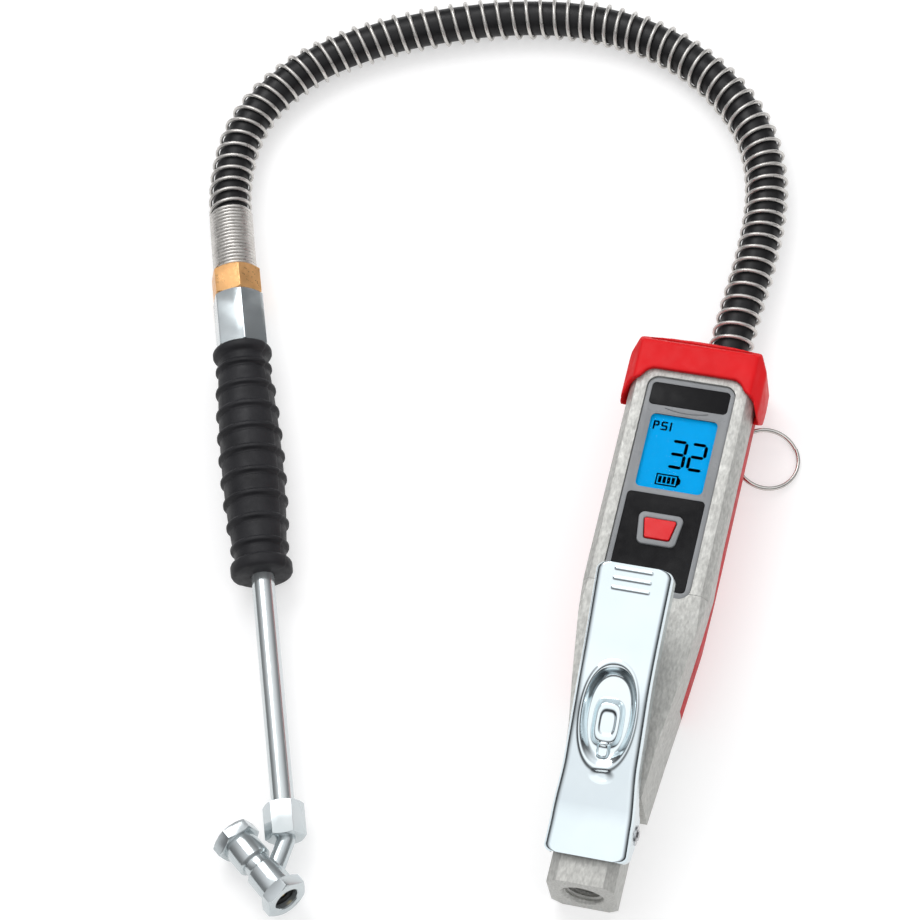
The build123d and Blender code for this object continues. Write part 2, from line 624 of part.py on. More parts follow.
with BuildPart() as plug_seal:
    tube(valve, 5.4, 4.05, PLUG_TOP - 0.85, PLUG_TOP - 0.05)
plug_seal.part.label = "plug_seal"

with BuildPart() as inlet_strainer:
    turned(
        inlet,
        [(0, INLET_DEPTH + 0.1), (STRAINER_R, INLET_DEPTH + 0.1), (STRAINER_R, INLET_DEPTH + 1.1),
         (0, INLET_DEPTH + 1.1)],
    )
    with Locations(inlet.offset(INLET_DEPTH)):
        with PolarLocations(3.0, 8):
            Hole(0.5, depth=3)
inlet_strainer.part.label = "inlet_strainer"

# ---------------------------------------------------------------- lever
LEVER_PATH = [(8.5, 13.9), (22.0, 18.2), (62.0, 36.6), (100.4, 47.6)]
LEVER_BENDS = (30.0, 60.0)
SHEET_DROP = SHEET / math.cos(math.radians(22))
DISH_Y = (38.0, 67.0)
DISH_HALF_X = 8.8
DISH_FLOOR = [(36.0, 22.5), (69.0, 31.1)]     # underside of the dish, in (Y, Z)


def oval_prism(margin, lift):
    """Upright oval of the dish, shrunk by a margin, above its floor plus a lift."""
    with BuildSketch(Plane.XY) as oval:
        with Locations((0, (DISH_Y[0] + DISH_Y[1]) / 2)):
            SlotOverall(DISH_Y[1] - DISH_Y[0] - 2 * margin, 2 * (DISH_HALF_X - margin), rotation=90)
    extrude(oval.sketch, amount=60)
    floor = [(y, z + lift) for y, z in DISH_FLOOR]
    prism(side_plane(-20), [*floor, (DISH_FLOOR[1][0], 70), (DISH_FLOOR[0][0], 70)], 40, mode=Mode.INTERSECT)


with BuildPart() as dish:
    oval_prism(0, 0)
    prism(side_plane(-20), [(30, 0), (69, 0), LEVER_PATH[2], LEVER_PATH[1], (22.0, 0)], 40,
          mode=Mode.INTERSECT)
with BuildPart() as dish_hollow:
    oval_prism(SHEET, SHEET)

with BuildPart() as lever:
    # pressed channel: the whole side outline, hollowed from below
    with BuildSketch(side_plane(-LEVER_HALF_X)) as lever_side:
        with BuildLine():
            top = FilletPolyline(*LEVER_PATH, radius=LEVER_BENDS)
            Polyline(LEVER_PATH[-1], (98.3, 39.6), (92.0, 38.0), (62.0, 27.2), (35.0, 16.2), (29.5, 12.0))
            ThreePointArc((29.5, 12.0), (24.4, 2.2), (16.0, 3.6))
            Polyline((16.0, 3.6), (10.4, 8.6), LEVER_PATH[0])
        make_face()
    extrude(lever_side.sketch, amount=2 * LEVER_HALF_X)
    underside = [(y, z - SHEET_DROP) for y, z in [(7.0, 13.42), *LEVER_PATH[1:3], (103.0, 48.35)]]
    with BuildSketch(side_plane(-LEVER_HALF_X + SHEET)) as lever_hollow:
        with BuildLine():
            FilletPolyline(*underside, radius=LEVER_BENDS)
            Polyline(underside[-1], (110, 0), (0, 0), underside[0])
        make_face()
    extrude(lever_hollow.sketch, amount=2 * (LEVER_HALF_X - SHEET), mode=Mode.SUBTRACT)
    # dimple: an oval dish whose floor bears on the plunger
    add(dish.part)
    add(dish_hollow.part, mode=Mode.SUBTRACT)
    # corners of the free end
    for sign in (-1, 1):
        prism(
            Plane.XY,
            [(sign * (LEVER_HALF_X - 3.0), 102.0), (sign * (LEVER_HALF_X - 3.0), 100.8),
             (sign * (LEVER_HALF_X + 0.1), 96.8), (sign * (LEVER_HALF_X + 1.0), 102.0)],
            60,
            mode=Mode.SUBTRACT,
        )
    bar(side_plane(-20).shift_origin((-20, PIVOT_Y, PIVOT_Z)), PIVOT_R + STEM_RUNNING, 0, 40,
        mode=Mode.SUBTRACT)
lever.part.label = "lever"

pivot = side_plane(0).shift_origin((0, PIVOT_Y, PIVOT_Z))
with BuildPart() as lever_pin:
    turned(
        pivot,
        [(0, -14.9), (2.6, -14.9), (3.0, -14.5), (3.0, -13.5), (PIVOT_R, -13.5), (PIVOT_R, 13.7), (1.5, 13.7),
         (1.5, 14.5), (PIVOT_R, 14.5), (PIVOT_R - 0.4, 15.0), (0, 15.0)],
    )
lever_pin.part.label = "lever_pin"

with BuildPart() as pin_clip:
    with BuildSketch(pivot.offset(13.75)) as clip:
        Circle(3.4)
        Circle(1.55, mode=Mode.SUBTRACT)
        with Locations((0, -2.6)):
            Rectangle(2.2, 3.0, mode=Mode.SUBTRACT)
    extrude(clip.sketch, amount=0.65)
pin_clip.part.label = "pin_clip"

with BuildPart() as pivot_washers:
    for start in (-12.15, 11.55):
        tube(pivot, 4.2, PIVOT_R + 0.05, start, start + 0.6)
pivot_washers.part.label = "pivot_washers"

# ---------------------------------------------------------------- pressure side of the head
with BuildPart() as pressure_sensor:
    sensor = along_y(SENSOR_X, PORT_FACE_Y, 6.0)
    turned(
        sensor,
        [(0, 1.6), (5.0, 1.6), (5.0, 9.0), (4.2, 9.6), (0, 9.6)],
    )
    turned(sensor, [(0, 0), (3.0, 1.6), (0, 1.7)], mode=Mode.SUBTRACT)
pressure_sensor.part.label = "pressure_sensor"

with BuildPart() as sensor_seal:
    tube(sensor, 4.9, 3.6, 0.0, 1.55)
sensor_seal.part.label = "sensor_seal"

OUTLET_ROUTE = [(OUTLET_X, 82.2, OUTLET_Z), (OUTLET_X, 101.0, OUTLET_Z), (HOSE_X, 124.0, OUTLET_Z),
                (HOSE_X, 166.0, OUTLET_Z), (HOSE_X, 180.0, HOSE_Z), (HOSE_X, 185.5, HOSE_Z)]
with BuildPart() as outlet_tube:
    with BuildLine() as outlet_path:
        FilletPolyline(*OUTLET_ROUTE, radius=(60.0, 60.0, 14.0, 14.0))
    with BuildSketch(along_y(*OUTLET_ROUTE[0])):
        Circle(3.0)
        Circle(2.1, mode=Mode.SUBTRACT)
    sweep(path=outlet_path.wires()[0])
outlet_tube.part.label = "outlet_tube"

hose_axis = along_y(HOSE_X, 0, HOSE_Z)
with BuildPart() as hose_adaptor:
    bar(hose_axis, 4.2, 178.0, 186.2)
    hexagon(hose_axis, 12.0, 186.0, 193.8, rotation=30)
    turned(
        hose_axis,
        [(0, 193.8), (3.0, 193.8), (3.0, 195.5), (HOSE_BORE_R - 0.05, 196.0), (2.9, 198.0),
         (HOSE_BORE_R - 0.05, 198.4), (2.9, 200.4), (HOSE_BORE_R - 0.05, 200.8), (2.7, 204.0), (0, 204.0)],
    )
    bar(hose_axis, 3.02, 177.0, 186.0, mode=Mode.SUBTRACT)
    bar(hose_axis, 2.0, 180.0, 210.0, mode=Mode.SUBTRACT)
hose_adaptor.part.label = "hose_adaptor"

with BuildPart() as hose_ferrule:
    turned(
        hose_axis,
        [(HOSE_R + 0.05, 194.6), (6.95, 194.6), (6.95, 196.4), (6.75, 196.8), (6.95, 197.2), (6.95, 199.0),
         (6.75, 199.4), (6.95, 199.8), (6.95, 200.6), (HOSE_R + 0.05, 200.6)],
    )
hose_ferrule.part.label = "hose_ferrule"


# ---------------------------------------------------------------- hose and its wire guard
def bend_radii(route):
    """Largest tangent arc at each corner: 0.45 of its shorter run over the tangent of half the turn."""
    radii = []
    for before, here, after in zip(route, route[1:], route[2:]):
        into = Vector(*here) - Vector(*before)
        out = Vector(*after) - Vector(*here)
        half_turn = math.radians(into.get_angle(out)) / 2
        radii.append(0.45 * min(into.length, out.length) / math.tan(half_turn))
    return radii


hose_radii = bend_radii(HOSE_ROUTE)
print("hose bend radii:", [round(r, 1) for r in hose_radii])
first_run = Vector(*HOSE_ROUTE[1]) - Vector(*HOSE_ROUTE[0])
with BuildPart() as hose:
    with BuildLine() as hose_path:
        FilletPolyline(*HOSE_ROUTE, radius=hose_radii)
    with BuildSketch(Plane(HOSE_ROUTE[0], x_dir=(1, 0, 0), z_dir=first_run)):
        Circle(HOSE_R)
        Circle(HOSE_BORE_R, mode=Mode.SUBTRACT)
    sweep(path=hose_path.wires()[0])
hose.part.label = "hose"
hose_length = hose_path.wires()[0].length
print("hose length %.1f, volume %.0f, section x length %.0f" % (
    hose_length, hose.part.volume, math.pi * (HOSE_R**2 - HOSE_BORE_R**2) * hose_length))

guard_route = [GUARD_START, *HOSE_ROUTE[1:]]
with BuildPart() as spring_guard:
    with BuildLine() as guard_path:
        FilletPolyline(*guard_route, radius=hose_radii)
    with BuildSketch(Plane(GUARD_START, x_dir=(1, 0, 0), z_dir=first_run)):
        Circle(GUARD_R)
        Circle(GUARD_IN_R, mode=Mode.SUBTRACT)
    sweep(path=guard_path.wires()[0])
spring_guard.part.label = "spring_guard"

# ---------------------------------------------------------------- handset
with BuildPart() as hose_tail:
    turned(
        handset,
        [(1.8, -8.0), (2.6, -8.0), (HOSE_BORE_R - 0.1, -6.5), (2.8, -6.0), (HOSE_BORE_R - 0.1, -4.0),
         (2.8, -3.5),
         (HOSE_BORE_R - 0.1, -1.5), (HOSE_BORE_R - 0.1, 10.5), (1.8, 10.5)],
    )
hose_tail.part.label = "hose_tail"

with BuildPart() as brass_nut:
    hexagon(handset, 16.5, 0.05, 10.5, rotation=NUT_TURN)
    bar(handset, HOSE_BORE_R, -1, 20, mode=Mode.SUBTRACT)
brass_nut.part.label = "brass_nut"

with BuildPart() as hex_adaptor:
    hexagon(handset, 17.0, 10.55, GRIP_START - 0.05, rotation=NUT_TURN)
    bar(handset, 6.5, 25.0, 45.0)
    bar(handset, 2.4, 0, 60, mode=Mode.SUBTRACT)
    bar(handset, LANCE_R + 0.03, LANCE_START - 0.05, 60, mode=Mode.SUBTRACT)
hex_adaptor.part.label = "hex_adaptor"

RIB_COUNT = 10
RIB_WIDTH = 2.2
RIB_HEIGHT = 0.75


def grip_radius(s):
    """Barrel shape of the grip between its end flanges."""
    middle = 79.0
    spread = 46.0 if s < middle else 42.0
    return 11.2 - 2.4 * ((s - middle) / spread) ** 2


def grip_outline():
    """Half section of the grip: flange, ribbed barrel, flange."""
    first = GRIP_START + 4.5
    pitch = (GRIP_END - 5.5 - first) / (RIB_COUNT - 1)
    points = [(4.1, 45.4), (6.6, 45.4), (6.6, GRIP_START), (10.2, GRIP_START), (10.7, GRIP_START + 0.8),
              (10.7, GRIP_START + 2.4)]
    for rib in range(RIB_COUNT - 1):
        valley = first + pitch * rib
        crest = valley + pitch - RIB_WIDTH
        points += [(grip_radius(valley), valley), (grip_radius(crest), crest)]
        if rib < RIB_COUNT - 2:
            points += [(grip_radius(crest) + RIB_HEIGHT, crest + 0.5),
                       (grip_radius(crest) + RIB_HEIGHT, crest + RIB_WIDTH - 0.5)]
    return points + [(10.9, GRIP_END - 4.6), (10.9, GRIP_END - 0.8), (10.3, GRIP_END), (4.1, GRIP_END)]


with BuildPart() as grip:
    turned(handset, grip_outline())
grip.part.label = "grip"

with BuildPart() as lance_tube:
    tube(handset, LANCE_R, LANCE_BORE_R, LANCE_START, COLLAR_END - 4.0)
lance_tube.part.label = "lance_tube"

with BuildPart() as tube_collar:
    hexagon(handset, 12.5, COLLAR_START, COLLAR_END)
    bar(handset, LANCE_R + 0.03, COLLAR_START - 1, COLLAR_END - 3.9, mode=Mode.SUBTRACT)
    bar(handset, 3.2, COLLAR_END - 4.0, COLLAR_END + 1, mode=Mode.SUBTRACT)
tube_collar.part.label = "tube_collar"

# ---------------------------------------------------------------- twin connector
BORE_R = 3.9
NECK_R = 3.15
neck_bend = handset.from_local_coords(Vector(0, 0, COLLAR_END + 0.6))
neck_target = barrel.from_local_coords(Vector(0, 0, 6.5))
neck_vector = neck_target - neck_bend
neck = Plane(neck_bend, z_dir=neck_vector)
with BuildPart() as connector_body:
    turned(
        barrel,
        [(0, -CAP_START), (BARREL_R, -CAP_START), (BARREL_R, -2.9), (BARREL_R - 0.7, -2.2), (4.8, -2.2),
         (4.8, 1.2),
         (BARREL_R - 0.7, 1.2), (BARREL_R, 1.9), (BARREL_R, CAP_START), (0, CAP_START)],
    )
    bar(neck, NECK_R, 0, neck_vector.length)
    with Locations(neck_bend):
        Sphere(NECK_R)
    bar(handset, NECK_R, COLLAR_END - 3.8, COLLAR_END + 0.6)
    for start, end in ((-CAP_START - 1, -1.0), (1.0, CAP_START + 1)):
        bar(barrel, BORE_R, start, end, mode=Mode.SUBTRACT)
    bar(barrel, 1.2, -2, 2, mode=Mode.SUBTRACT)
    bar(neck, 1.6, 0, neck_vector.length, mode=Mode.SUBTRACT)
    bar(handset, 1.6, COLLAR_END - 5.0, COLLAR_END + 0.9, mode=Mode.SUBTRACT)
connector_body.part.label = "connector_body"

connector_pieces = {}
for end_name, sign in (("front", 1), ("rear", -1)):
    end_plane = Plane(BARREL_CENTRE, x_dir=barrel.x_dir, z_dir=barrel.z_dir * sign)
    with BuildPart() as cap:
        hexagon(end_plane, 14.5, CAP_START + 0.02, CAP_END, rotation=15)
        turned(
            end_plane,
            [(0, CAP_END + 0.1), (CAP_MOUTH_R + 0.5, CAP_END + 0.1), (CAP_MOUTH_R, CAP_END - 0.4),
             (CAP_MOUTH_R, SEAL_SHOULDER), (SEAL_R + 0.05, SEAL_SHOULDER), (SEAL_R + 0.05, CAP_START),
             (0, CAP_START)],
            mode=Mode.SUBTRACT,
        )
    with BuildPart() as seal:
        tube(end_plane, SEAL_R, SEAL_HOLE_R, CAP_START + 0.05, SEAL_SHOULDER - 0.1)
    with BuildPart() as pin:
        turned(
            end_plane,
            [(0, 4.5), (1.1, 4.5), (1.1, 5.6), (3.7, 5.6), (3.7, 7.4), (1.3, 7.4), (1.3, 12.9), (0.9, 13.3),
             (0, 13.3)],
        )
    with BuildPart() as pin_spring:
        tube(end_plane, 3.4, 1.9, 1.05, 5.55)
    connector_pieces[end_name + "_cap"] = cap
    connector_pieces[end_name + "_seal"] = seal
    connector_pieces[end_name + "_pin"] = pin
    connector_pieces[end_name + "_pin_spring"] = pin_spring
for piece_name, piece in connector_pieces.items():
    piece.part.label = piece_name

# ---------------------------------------------------------------- hanging ring
ring_centre = (
    RING_EYE[0] + RING_R * math.cos(math.radians(RING_DROP)),
    RING_EYE[1],
    RING_EYE[2] - RING_R * math.sin(math.radians(RING_DROP)),
)
ring_normal = (math.sin(math.radians(RING_DROP)), 0, math.cos(math.radians(RING_DROP)))
with BuildPart() as hanging_ring:
    with Locations(Plane(ring_centre, z_dir=ring_normal)):
        Torus(RING_R, RING_WIRE_R)
hanging_ring.part.label = "hanging_ring"

# ---------------------------------------------------------------- export
pieces = {
    "valve_body": valve_body, "front_shell": front_shell, "rear_cover": rear_cover, "bumper": bumper,
    "fascia": fascia, "label_plate": label_plate, "keypad_panel": keypad_panel, "display_lens": display_lens,
    "display_module": display_module, "button_bezel": button_bezel, "scale_button": scale_button,
    "button_switch": button_switch, "circuit_board": circuit_board, "pressure_sensor": pressure_sensor,
    "sensor_seal": sensor_seal, "batteries": batteries, "battery_contacts": battery_contacts,
    "battery_door": battery_door, "battery_door_screw": battery_door_screw, "case_screws": case_screws,
    "valve_screws": valve_screws, "lever": lever, "lever_pin": lever_pin, "pin_clip": pin_clip,
    "pivot_washers": pivot_washers, "lever_spring": lever_spring, "valve_plunger": valve_plunger,
    "plunger_seal": plunger_seal, "plunger_gland": plunger_gland, "inlet_poppet": inlet_poppet,
    "poppet_seal": poppet_seal, "poppet_spring": poppet_spring, "valve_plug": valve_plug,
    "plug_seal": plug_seal, "inlet_strainer": inlet_strainer, "outlet_tube": outlet_tube,
    "hose_adaptor": hose_adaptor, "hose_ferrule": hose_ferrule, "hose": hose, "spring_guard": spring_guard,
    "hose_tail": hose_tail, "brass_nut": brass_nut, "hex_adaptor": hex_adaptor, "grip": grip,
    "lance_tube": lance_tube, "tube_collar": tube_collar, "connector_body": connector_body,
    "hanging_ring": hanging_ring, **connector_pieces,
}
os.makedirs("parts", exist_ok=True)
for piece_name, piece in pieces.items():
    export_step(piece.part, "parts/" + piece_name + ".step")
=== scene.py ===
import json
import math

import bmesh
import bpy
from mathutils import Matrix, Vector


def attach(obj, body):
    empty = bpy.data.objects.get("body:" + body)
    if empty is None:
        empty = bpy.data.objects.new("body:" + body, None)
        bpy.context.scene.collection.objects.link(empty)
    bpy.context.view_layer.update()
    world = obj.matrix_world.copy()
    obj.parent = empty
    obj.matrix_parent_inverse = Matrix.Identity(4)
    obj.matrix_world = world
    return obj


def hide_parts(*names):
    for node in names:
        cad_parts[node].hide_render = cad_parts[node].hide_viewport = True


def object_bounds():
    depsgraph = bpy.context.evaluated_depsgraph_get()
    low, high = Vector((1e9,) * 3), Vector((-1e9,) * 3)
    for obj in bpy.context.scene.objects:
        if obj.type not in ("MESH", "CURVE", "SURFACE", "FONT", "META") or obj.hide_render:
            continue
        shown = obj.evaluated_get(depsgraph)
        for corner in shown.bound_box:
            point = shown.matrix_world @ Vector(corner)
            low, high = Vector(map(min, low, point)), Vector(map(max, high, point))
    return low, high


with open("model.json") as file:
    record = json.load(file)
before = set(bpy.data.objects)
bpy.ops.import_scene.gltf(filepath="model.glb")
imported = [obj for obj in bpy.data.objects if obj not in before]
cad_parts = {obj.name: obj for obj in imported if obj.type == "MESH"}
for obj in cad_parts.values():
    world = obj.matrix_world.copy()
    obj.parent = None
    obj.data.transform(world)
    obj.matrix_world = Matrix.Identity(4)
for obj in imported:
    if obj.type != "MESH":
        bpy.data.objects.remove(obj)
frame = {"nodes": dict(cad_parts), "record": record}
cad_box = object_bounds()

MM = 0.001
record = frame["record"]
nodes = frame["nodes"]
node_body = {n: body for body, members in record["behaviour"]["bodies"].items() for n in members}
node_slot = {entry["node"]: entry["material_slot"] for entry in record["subparts"]}


def mm(*values):
    """Point or vector given in millimetres."""
    return Vector(values) * MM


# ---------------------------------------------------------------- frame of the handset and the connector
HANDSET_ORIGIN = mm(-177.13, 208.8, 0.59)
HANDSET_TURN = math.radians(19.5)
HANDSET_DROP = math.radians(0.78)


def axes_at(origin, across, along):
    """Matrix whose Z runs along a direction and whose X is close to another."""
    z = along.normalized()
    y = z.cross(across).normalized()
    x = y.cross(z)
    turn = Matrix((x, y, z)).transposed().to_4x4()
    return Matrix.Translation(origin) @ turn


handset = axes_at(
    HANDSET_ORIGIN,
    Vector((math.cos(HANDSET_TURN), math.sin(HANDSET_TURN), 0)),
    Vector((
        math.sin(HANDSET_TURN) * math.cos(HANDSET_DROP),
        -math.cos(HANDSET_TURN) * math.cos(HANDSET_DROP),
        -math.sin(HANDSET_DROP),
    )),
)
inlet = axes_at(Vector((0, 0, 0)), Vector((1, 0, 0)), Vector((0, 1, 0)))


# ---------------------------------------------------------------- materials
class Shader:
    """One principled material whose colour, roughness and bump come from its own nodes."""

    def __init__(self, name, colour, roughness, metallic=0.0):
        self.material = bpy.data.materials.new(name)
        self.material.use_nodes = True
        self.tree = self.material.node_tree
        self.bsdf = self.tree.nodes["Principled BSDF"]
        self.coords = self.tree.nodes.new("ShaderNodeTexCoord").outputs["Object"]
        self.height = None
        self.set("Base Color", (*colour, 1.0))
        self.set("Roughness", roughness)
        self.set("Metallic", metallic)

    def set(self, socket, value):
        self.bsdf.inputs[socket].default_value = value
        return self

    def link(self, source, target):
        self.tree.links.new(source, target)

    def noise(self, scale, detail=3.0, stretch=(1, 1, 1)):
        """Grey noise in object space; scale is in features per metre."""
        mapping = self.tree.nodes.new("ShaderNodeMapping")
        mapping.inputs["Scale"].default_value = stretch
        texture = self.tree.nodes.new("ShaderNodeTexNoise")
        texture.inputs["Scale"].default_value = scale
        texture.inputs["Detail"].default_value = detail
        self.link(self.coords, mapping.inputs["Vector"])
        self.link(mapping.outputs["Vector"], texture.inputs["Vector"])
        return texture.outputs["Fac"]

    def ramp(self, factor, low, high, start=0.35, end=0.65):
        """Colour ramp between two values or two colours."""
        ramp = self.tree.nodes.new("ShaderNodeValToRGB")
        first, last = ramp.color_ramp.elements
        first.position = start
        last.position = end
        first.color = (*low, 1) if isinstance(low, tuple) else (low, low, low, 1)
        last.color = (*high, 1) if isinstance(high, tuple) else (high, high, high, 1)
        self.link(factor, ramp.inputs["Fac"])
        return ramp.outputs["Color"]

    def colour(self, factor, low, high, start=0.35, end=0.65):
        self.link(self.ramp(factor, low, high, start, end), self.bsdf.inputs["Base Color"])
        return self

    def rough(self, factor, low, high, start=0.35, end=0.65):
        self.link(self.ramp(factor, low, high, start, end), self.bsdf.inputs["Roughness"])
        return self

    def bump(self, factor, depth, strength=1.0):
        """Relief of the given depth in metres, on top of any earlier relief."""
        node = self.tree.nodes.new("ShaderNodeBump")
        node.inputs["Strength"].default_value = strength
        node.inputs["Distance"].default_value = depth
        self.link(factor, node.inputs["Height"])
        if self.height is not None:
            self.link(self.height, node.inputs["Normal"])
        self.height = node.outputs["Normal"]
        self.link(self.height, self.bsdf.inputs["Normal"])
        return self


def casting():
    """Tumbled aluminium casting: fine sparkle along the tool over faint clouds."""
    s = Shader("cast_alloy", (0.50, 0.50, 0.475), 0.48, 0.35)
    s.colour(s.noise(1300, 5, (1, 0.4, 1)), (0.42, 0.42, 0.40), (0.62, 0.62, 0.59), 0.30, 0.70)
    s.rough(s.noise(420, 3), 0.40, 0.60)
    s.bump(s.noise(1700, 3, (1, 0.4, 1)), 0.00016, 0.6)
    return s.bump(s.noise(240, 2), 0.0002, 0.15)


def moulded(name, colour, darker, roughness, grain=2600, depth=0.00006, gloss=0.3):
    """Moulded plastic: slightly uneven colour and gloss, and a fine grain of the given depth in metres."""
    s = Shader(name, colour, roughness)
    s.set("Specular IOR Level", gloss)
    s.colour(s.noise(45, 3), darker, colour)
    s.rough(s.noise(320, 2), roughness - 0.06, roughness + 0.08)
    return s.bump(s.noise(grain, 2), depth, 0.5)


def rubber(name, colour, lighter, roughness):
    """Rubber: low gloss, with dusty patches and a fine grain."""
    s = Shader(name, colour, roughness)
    s.colour(s.noise(120, 5), colour, lighter, 0.3, 0.75)
    s.rough(s.noise(260, 3), roughness - 0.08, roughness + 0.10)
    s.bump(s.noise(1900, 4), 0.00008, 0.5)
    return s.set("Specular IOR Level", 0.22)


def plated(name, colour, roughness, tint, swirl=25, metallic=1.0):
    """Plated steel: clouds between two colours, and a surface that waves a little."""
    s = Shader(name, colour, roughness, metallic)
    s.colour(s.noise(swirl, 3), tint, colour, 0.3, 0.7)
    s.rough(s.noise(140, 4), roughness * 0.7, roughness * 1.5)
    return s.bump(s.noise(90, 2), 0.00012, 0.12)


def turned_metal(name, colour, roughness, metallic=1.0):
    """Machined or drawn metal with a fine, even grain."""
    s = Shader(name, colour, roughness, metallic)
    s.colour(s.noise(300, 4), tuple(c * 0.85 for c in colour), colour)
    s.rough(s.noise(700, 3), roughness * 0.75, roughness * 1.3)
    return s.bump(s.noise(900, 2), 0.00004, 0.4)


shaders = {
    "casting": casting(),
    "red_plastic": moulded("red_cover_plastic", (0.62, 0.010, 0.020), (0.50, 0.007, 0.013), 0.45, gloss=0.2),
    "bumper_rubber": moulded("red_bumper_rubber", (0.78, 0.009, 0.013), (0.68, 0.007, 0.010), 0.48,
                             gloss=0.18),
    "fascia": moulded("grey_fascia_plastic", (0.27, 0.28, 0.29), (0.23, 0.24, 0.25), 0.32),
    "label": moulded("black_label", (0.006, 0.006, 0.007), (0.004, 0.004, 0.005), 0.34, gloss=0.12),
    "keypad": moulded("black_keypad", (0.016, 0.016, 0.017), (0.006, 0.006, 0.007), 0.60, 1500, 0.0004, 0.15),
    "lens": Shader("clear_lens", (0.97, 0.99, 1.0), 0.04).set("Transmission Weight", 1.0).set("IOR", 1.03),
    "display": moulded("display_blue", (0.0, 0.36, 0.75), (0.0, 0.33, 0.70), 0.35),
    "bezel": moulded("grey_bezel_plastic", (0.30, 0.31, 0.32), (0.26, 0.27, 0.28), 0.36),
    "button": moulded("red_button_plastic", (0.80, 0.010, 0.016), (0.72, 0.008, 0.012), 0.34),
    "black_plastic": moulded("black_plastic", (0.02, 0.02, 0.02), (0.012, 0.012, 0.012), 0.45),
    "board": moulded("green_solder_mask", (0.01, 0.12, 0.05), (0.008, 0.09, 0.04), 0.35),
    "steel": turned_metal("plain_steel", (0.60, 0.60, 0.61), 0.28),
    "screw_steel": turned_metal("screw_steel", (0.45, 0.45, 0.46), 0.32),
    "seal_rubber": rubber("seal_rubber", (0.012, 0.012, 0.012), (0.02, 0.02, 0.02), 0.5),
    "battery_sleeve": moulded("battery_sleeve", (0.03, 0.03, 0.035), (0.02, 0.02, 0.022), 0.3),
    "lever_steel": plated("lever_zinc_plate", (0.76, 0.84, 0.87), 0.13, (0.68, 0.77, 0.81)),
    "brass": turned_metal("plain_brass", (0.72, 0.50, 0.20), 0.24),
    "nut_brass": turned_metal("nut_brass", (0.86, 0.47, 0.19), 0.36, 0.6),
    "clear_tube": moulded("nylon_tube", (0.70, 0.71, 0.68), (0.62, 0.63, 0.60), 0.3),
    "hose_rubber": rubber("hose_rubber", (0.010, 0.010, 0.011), (0.020, 0.020, 0.021), 0.38),
    "guard_steel": turned_metal("guard_wire", (0.70, 0.68, 0.65), 0.34, 0.7),
    "zinc": plated("zinc_plate", (0.62, 0.66, 0.67), 0.16, (0.54, 0.60, 0.62), 60, 0.72),
    "grip_rubber": rubber("grip_rubber", (0.016, 0.016, 0.018), (0.026, 0.026, 0.029), 0.52),
    "lance_chrome": plated("lance_plate", (0.66, 0.70, 0.71), 0.12, (0.60, 0.65, 0.66), metallic=0.72),
    "ring_steel": turned_metal("ring_wire", (0.66, 0.65, 0.62), 0.18),
}
for name, node in nodes.items():
    node.data.materials.clear()
    node.data.materials.append(shaders[node_slot[name]].material)


# ---------------------------------------------------------------- mesh helpers
EDGE_SEGMENTS = 3
EDGE_ANGLE = math.radians(28)      # sharper edges than this are rounded
RUBBER_VOXEL = 0.5 * MM
RUBBER_SOFTENING = 0.5
RUBBER_PASSES = 7
CUTTER_SIDES = 64


def add_piece(name, data, node, replaced=(), slot=None):
    """Put a new mesh or curve on a CAD node's body, in that node's finish."""
    piece = bpy.data.objects.new(name, data)
    bpy.context.scene.collection.objects.link(piece)
    chosen = slot or node_slot[node]
    data.materials.clear()
    data.materials.append(shaders[chosen].material)
    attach(piece, node_body[node])
    if replaced:
        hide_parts(*replaced)
    return piece


def smooth(piece, angle=35):
    """Shade faces smooth across edges that are flatter than an angle in degrees."""
    bpy.context.view_layer.objects.active = piece
    piece.select_set(True)
    bpy.ops.object.shade_smooth_by_angle(angle=math.radians(angle))
    piece.select_set(False)


def finished(piece, width):
    """Give a piece rounded edges of the given width in millimetres."""
    bevel = piece.modifiers.new("edges", "BEVEL")
    bevel.width = width * MM
    bevel.segments = EDGE_SEGMENTS
    bevel.limit_method = "ANGLE"
    bevel.angle_limit = EDGE_ANGLE
    bevel.harden_normals = False
    apply_modifiers(piece)
    smooth(piece)


def apply_modifiers(piece):
    """Replace the piece's mesh by its evaluated mesh."""
    bpy.context.view_layer.update()
    evaluated = piece.evaluated_get(bpy.context.evaluated_depsgraph_get())
    data = bpy.data.meshes.new_from_object(evaluated)
    piece.modifiers.clear()
    piece.data = data


def copy_of(node):
    """Welded copy of a CAD node's mesh with its flat faces merged."""
    bm = bmesh.new()
    bm.from_mesh(nodes[node].data)
    bmesh.ops.remove_doubles(bm, verts=bm.verts, dist=2e-6)
    bmesh.ops.dissolve_limit(bm, angle_limit=math.radians(0.6), verts=bm.verts, edges=bm.edges,
                             delimit={"NORMAL"})
    data = bpy.data.meshes.new(node + "_shape")
    bm.to_mesh(data)
    bm.free()
    return data


def rounded(node, width):
    """Stand-in for a CAD node: the same shape with rounded edges."""
    finished(add_piece(node + "_finished", copy_of(node), node, (node,)), width)


def soft_rubber(node):
    """Stand-in for a CAD node with the soft edges of a rubber moulding."""
    piece = add_piece(node + "_soft", copy_of(node), node, (node,))
    remesh = piece.modifiers.new("even", "REMESH")
    remesh.mode = "VOXEL"
    remesh.voxel_size = RUBBER_VOXEL
    soften = piece.modifiers.new("soft", "SMOOTH")
    soften.factor = RUBBER_SOFTENING
    soften.iterations = RUBBER_PASSES
    apply_modifiers(piece)
    smooth(piece, 60)


def mesh_from(name, verts, faces):
    data = bpy.data.meshes.new(name)
    data.from_pydata(verts, [], faces)
    data.update()
    return data


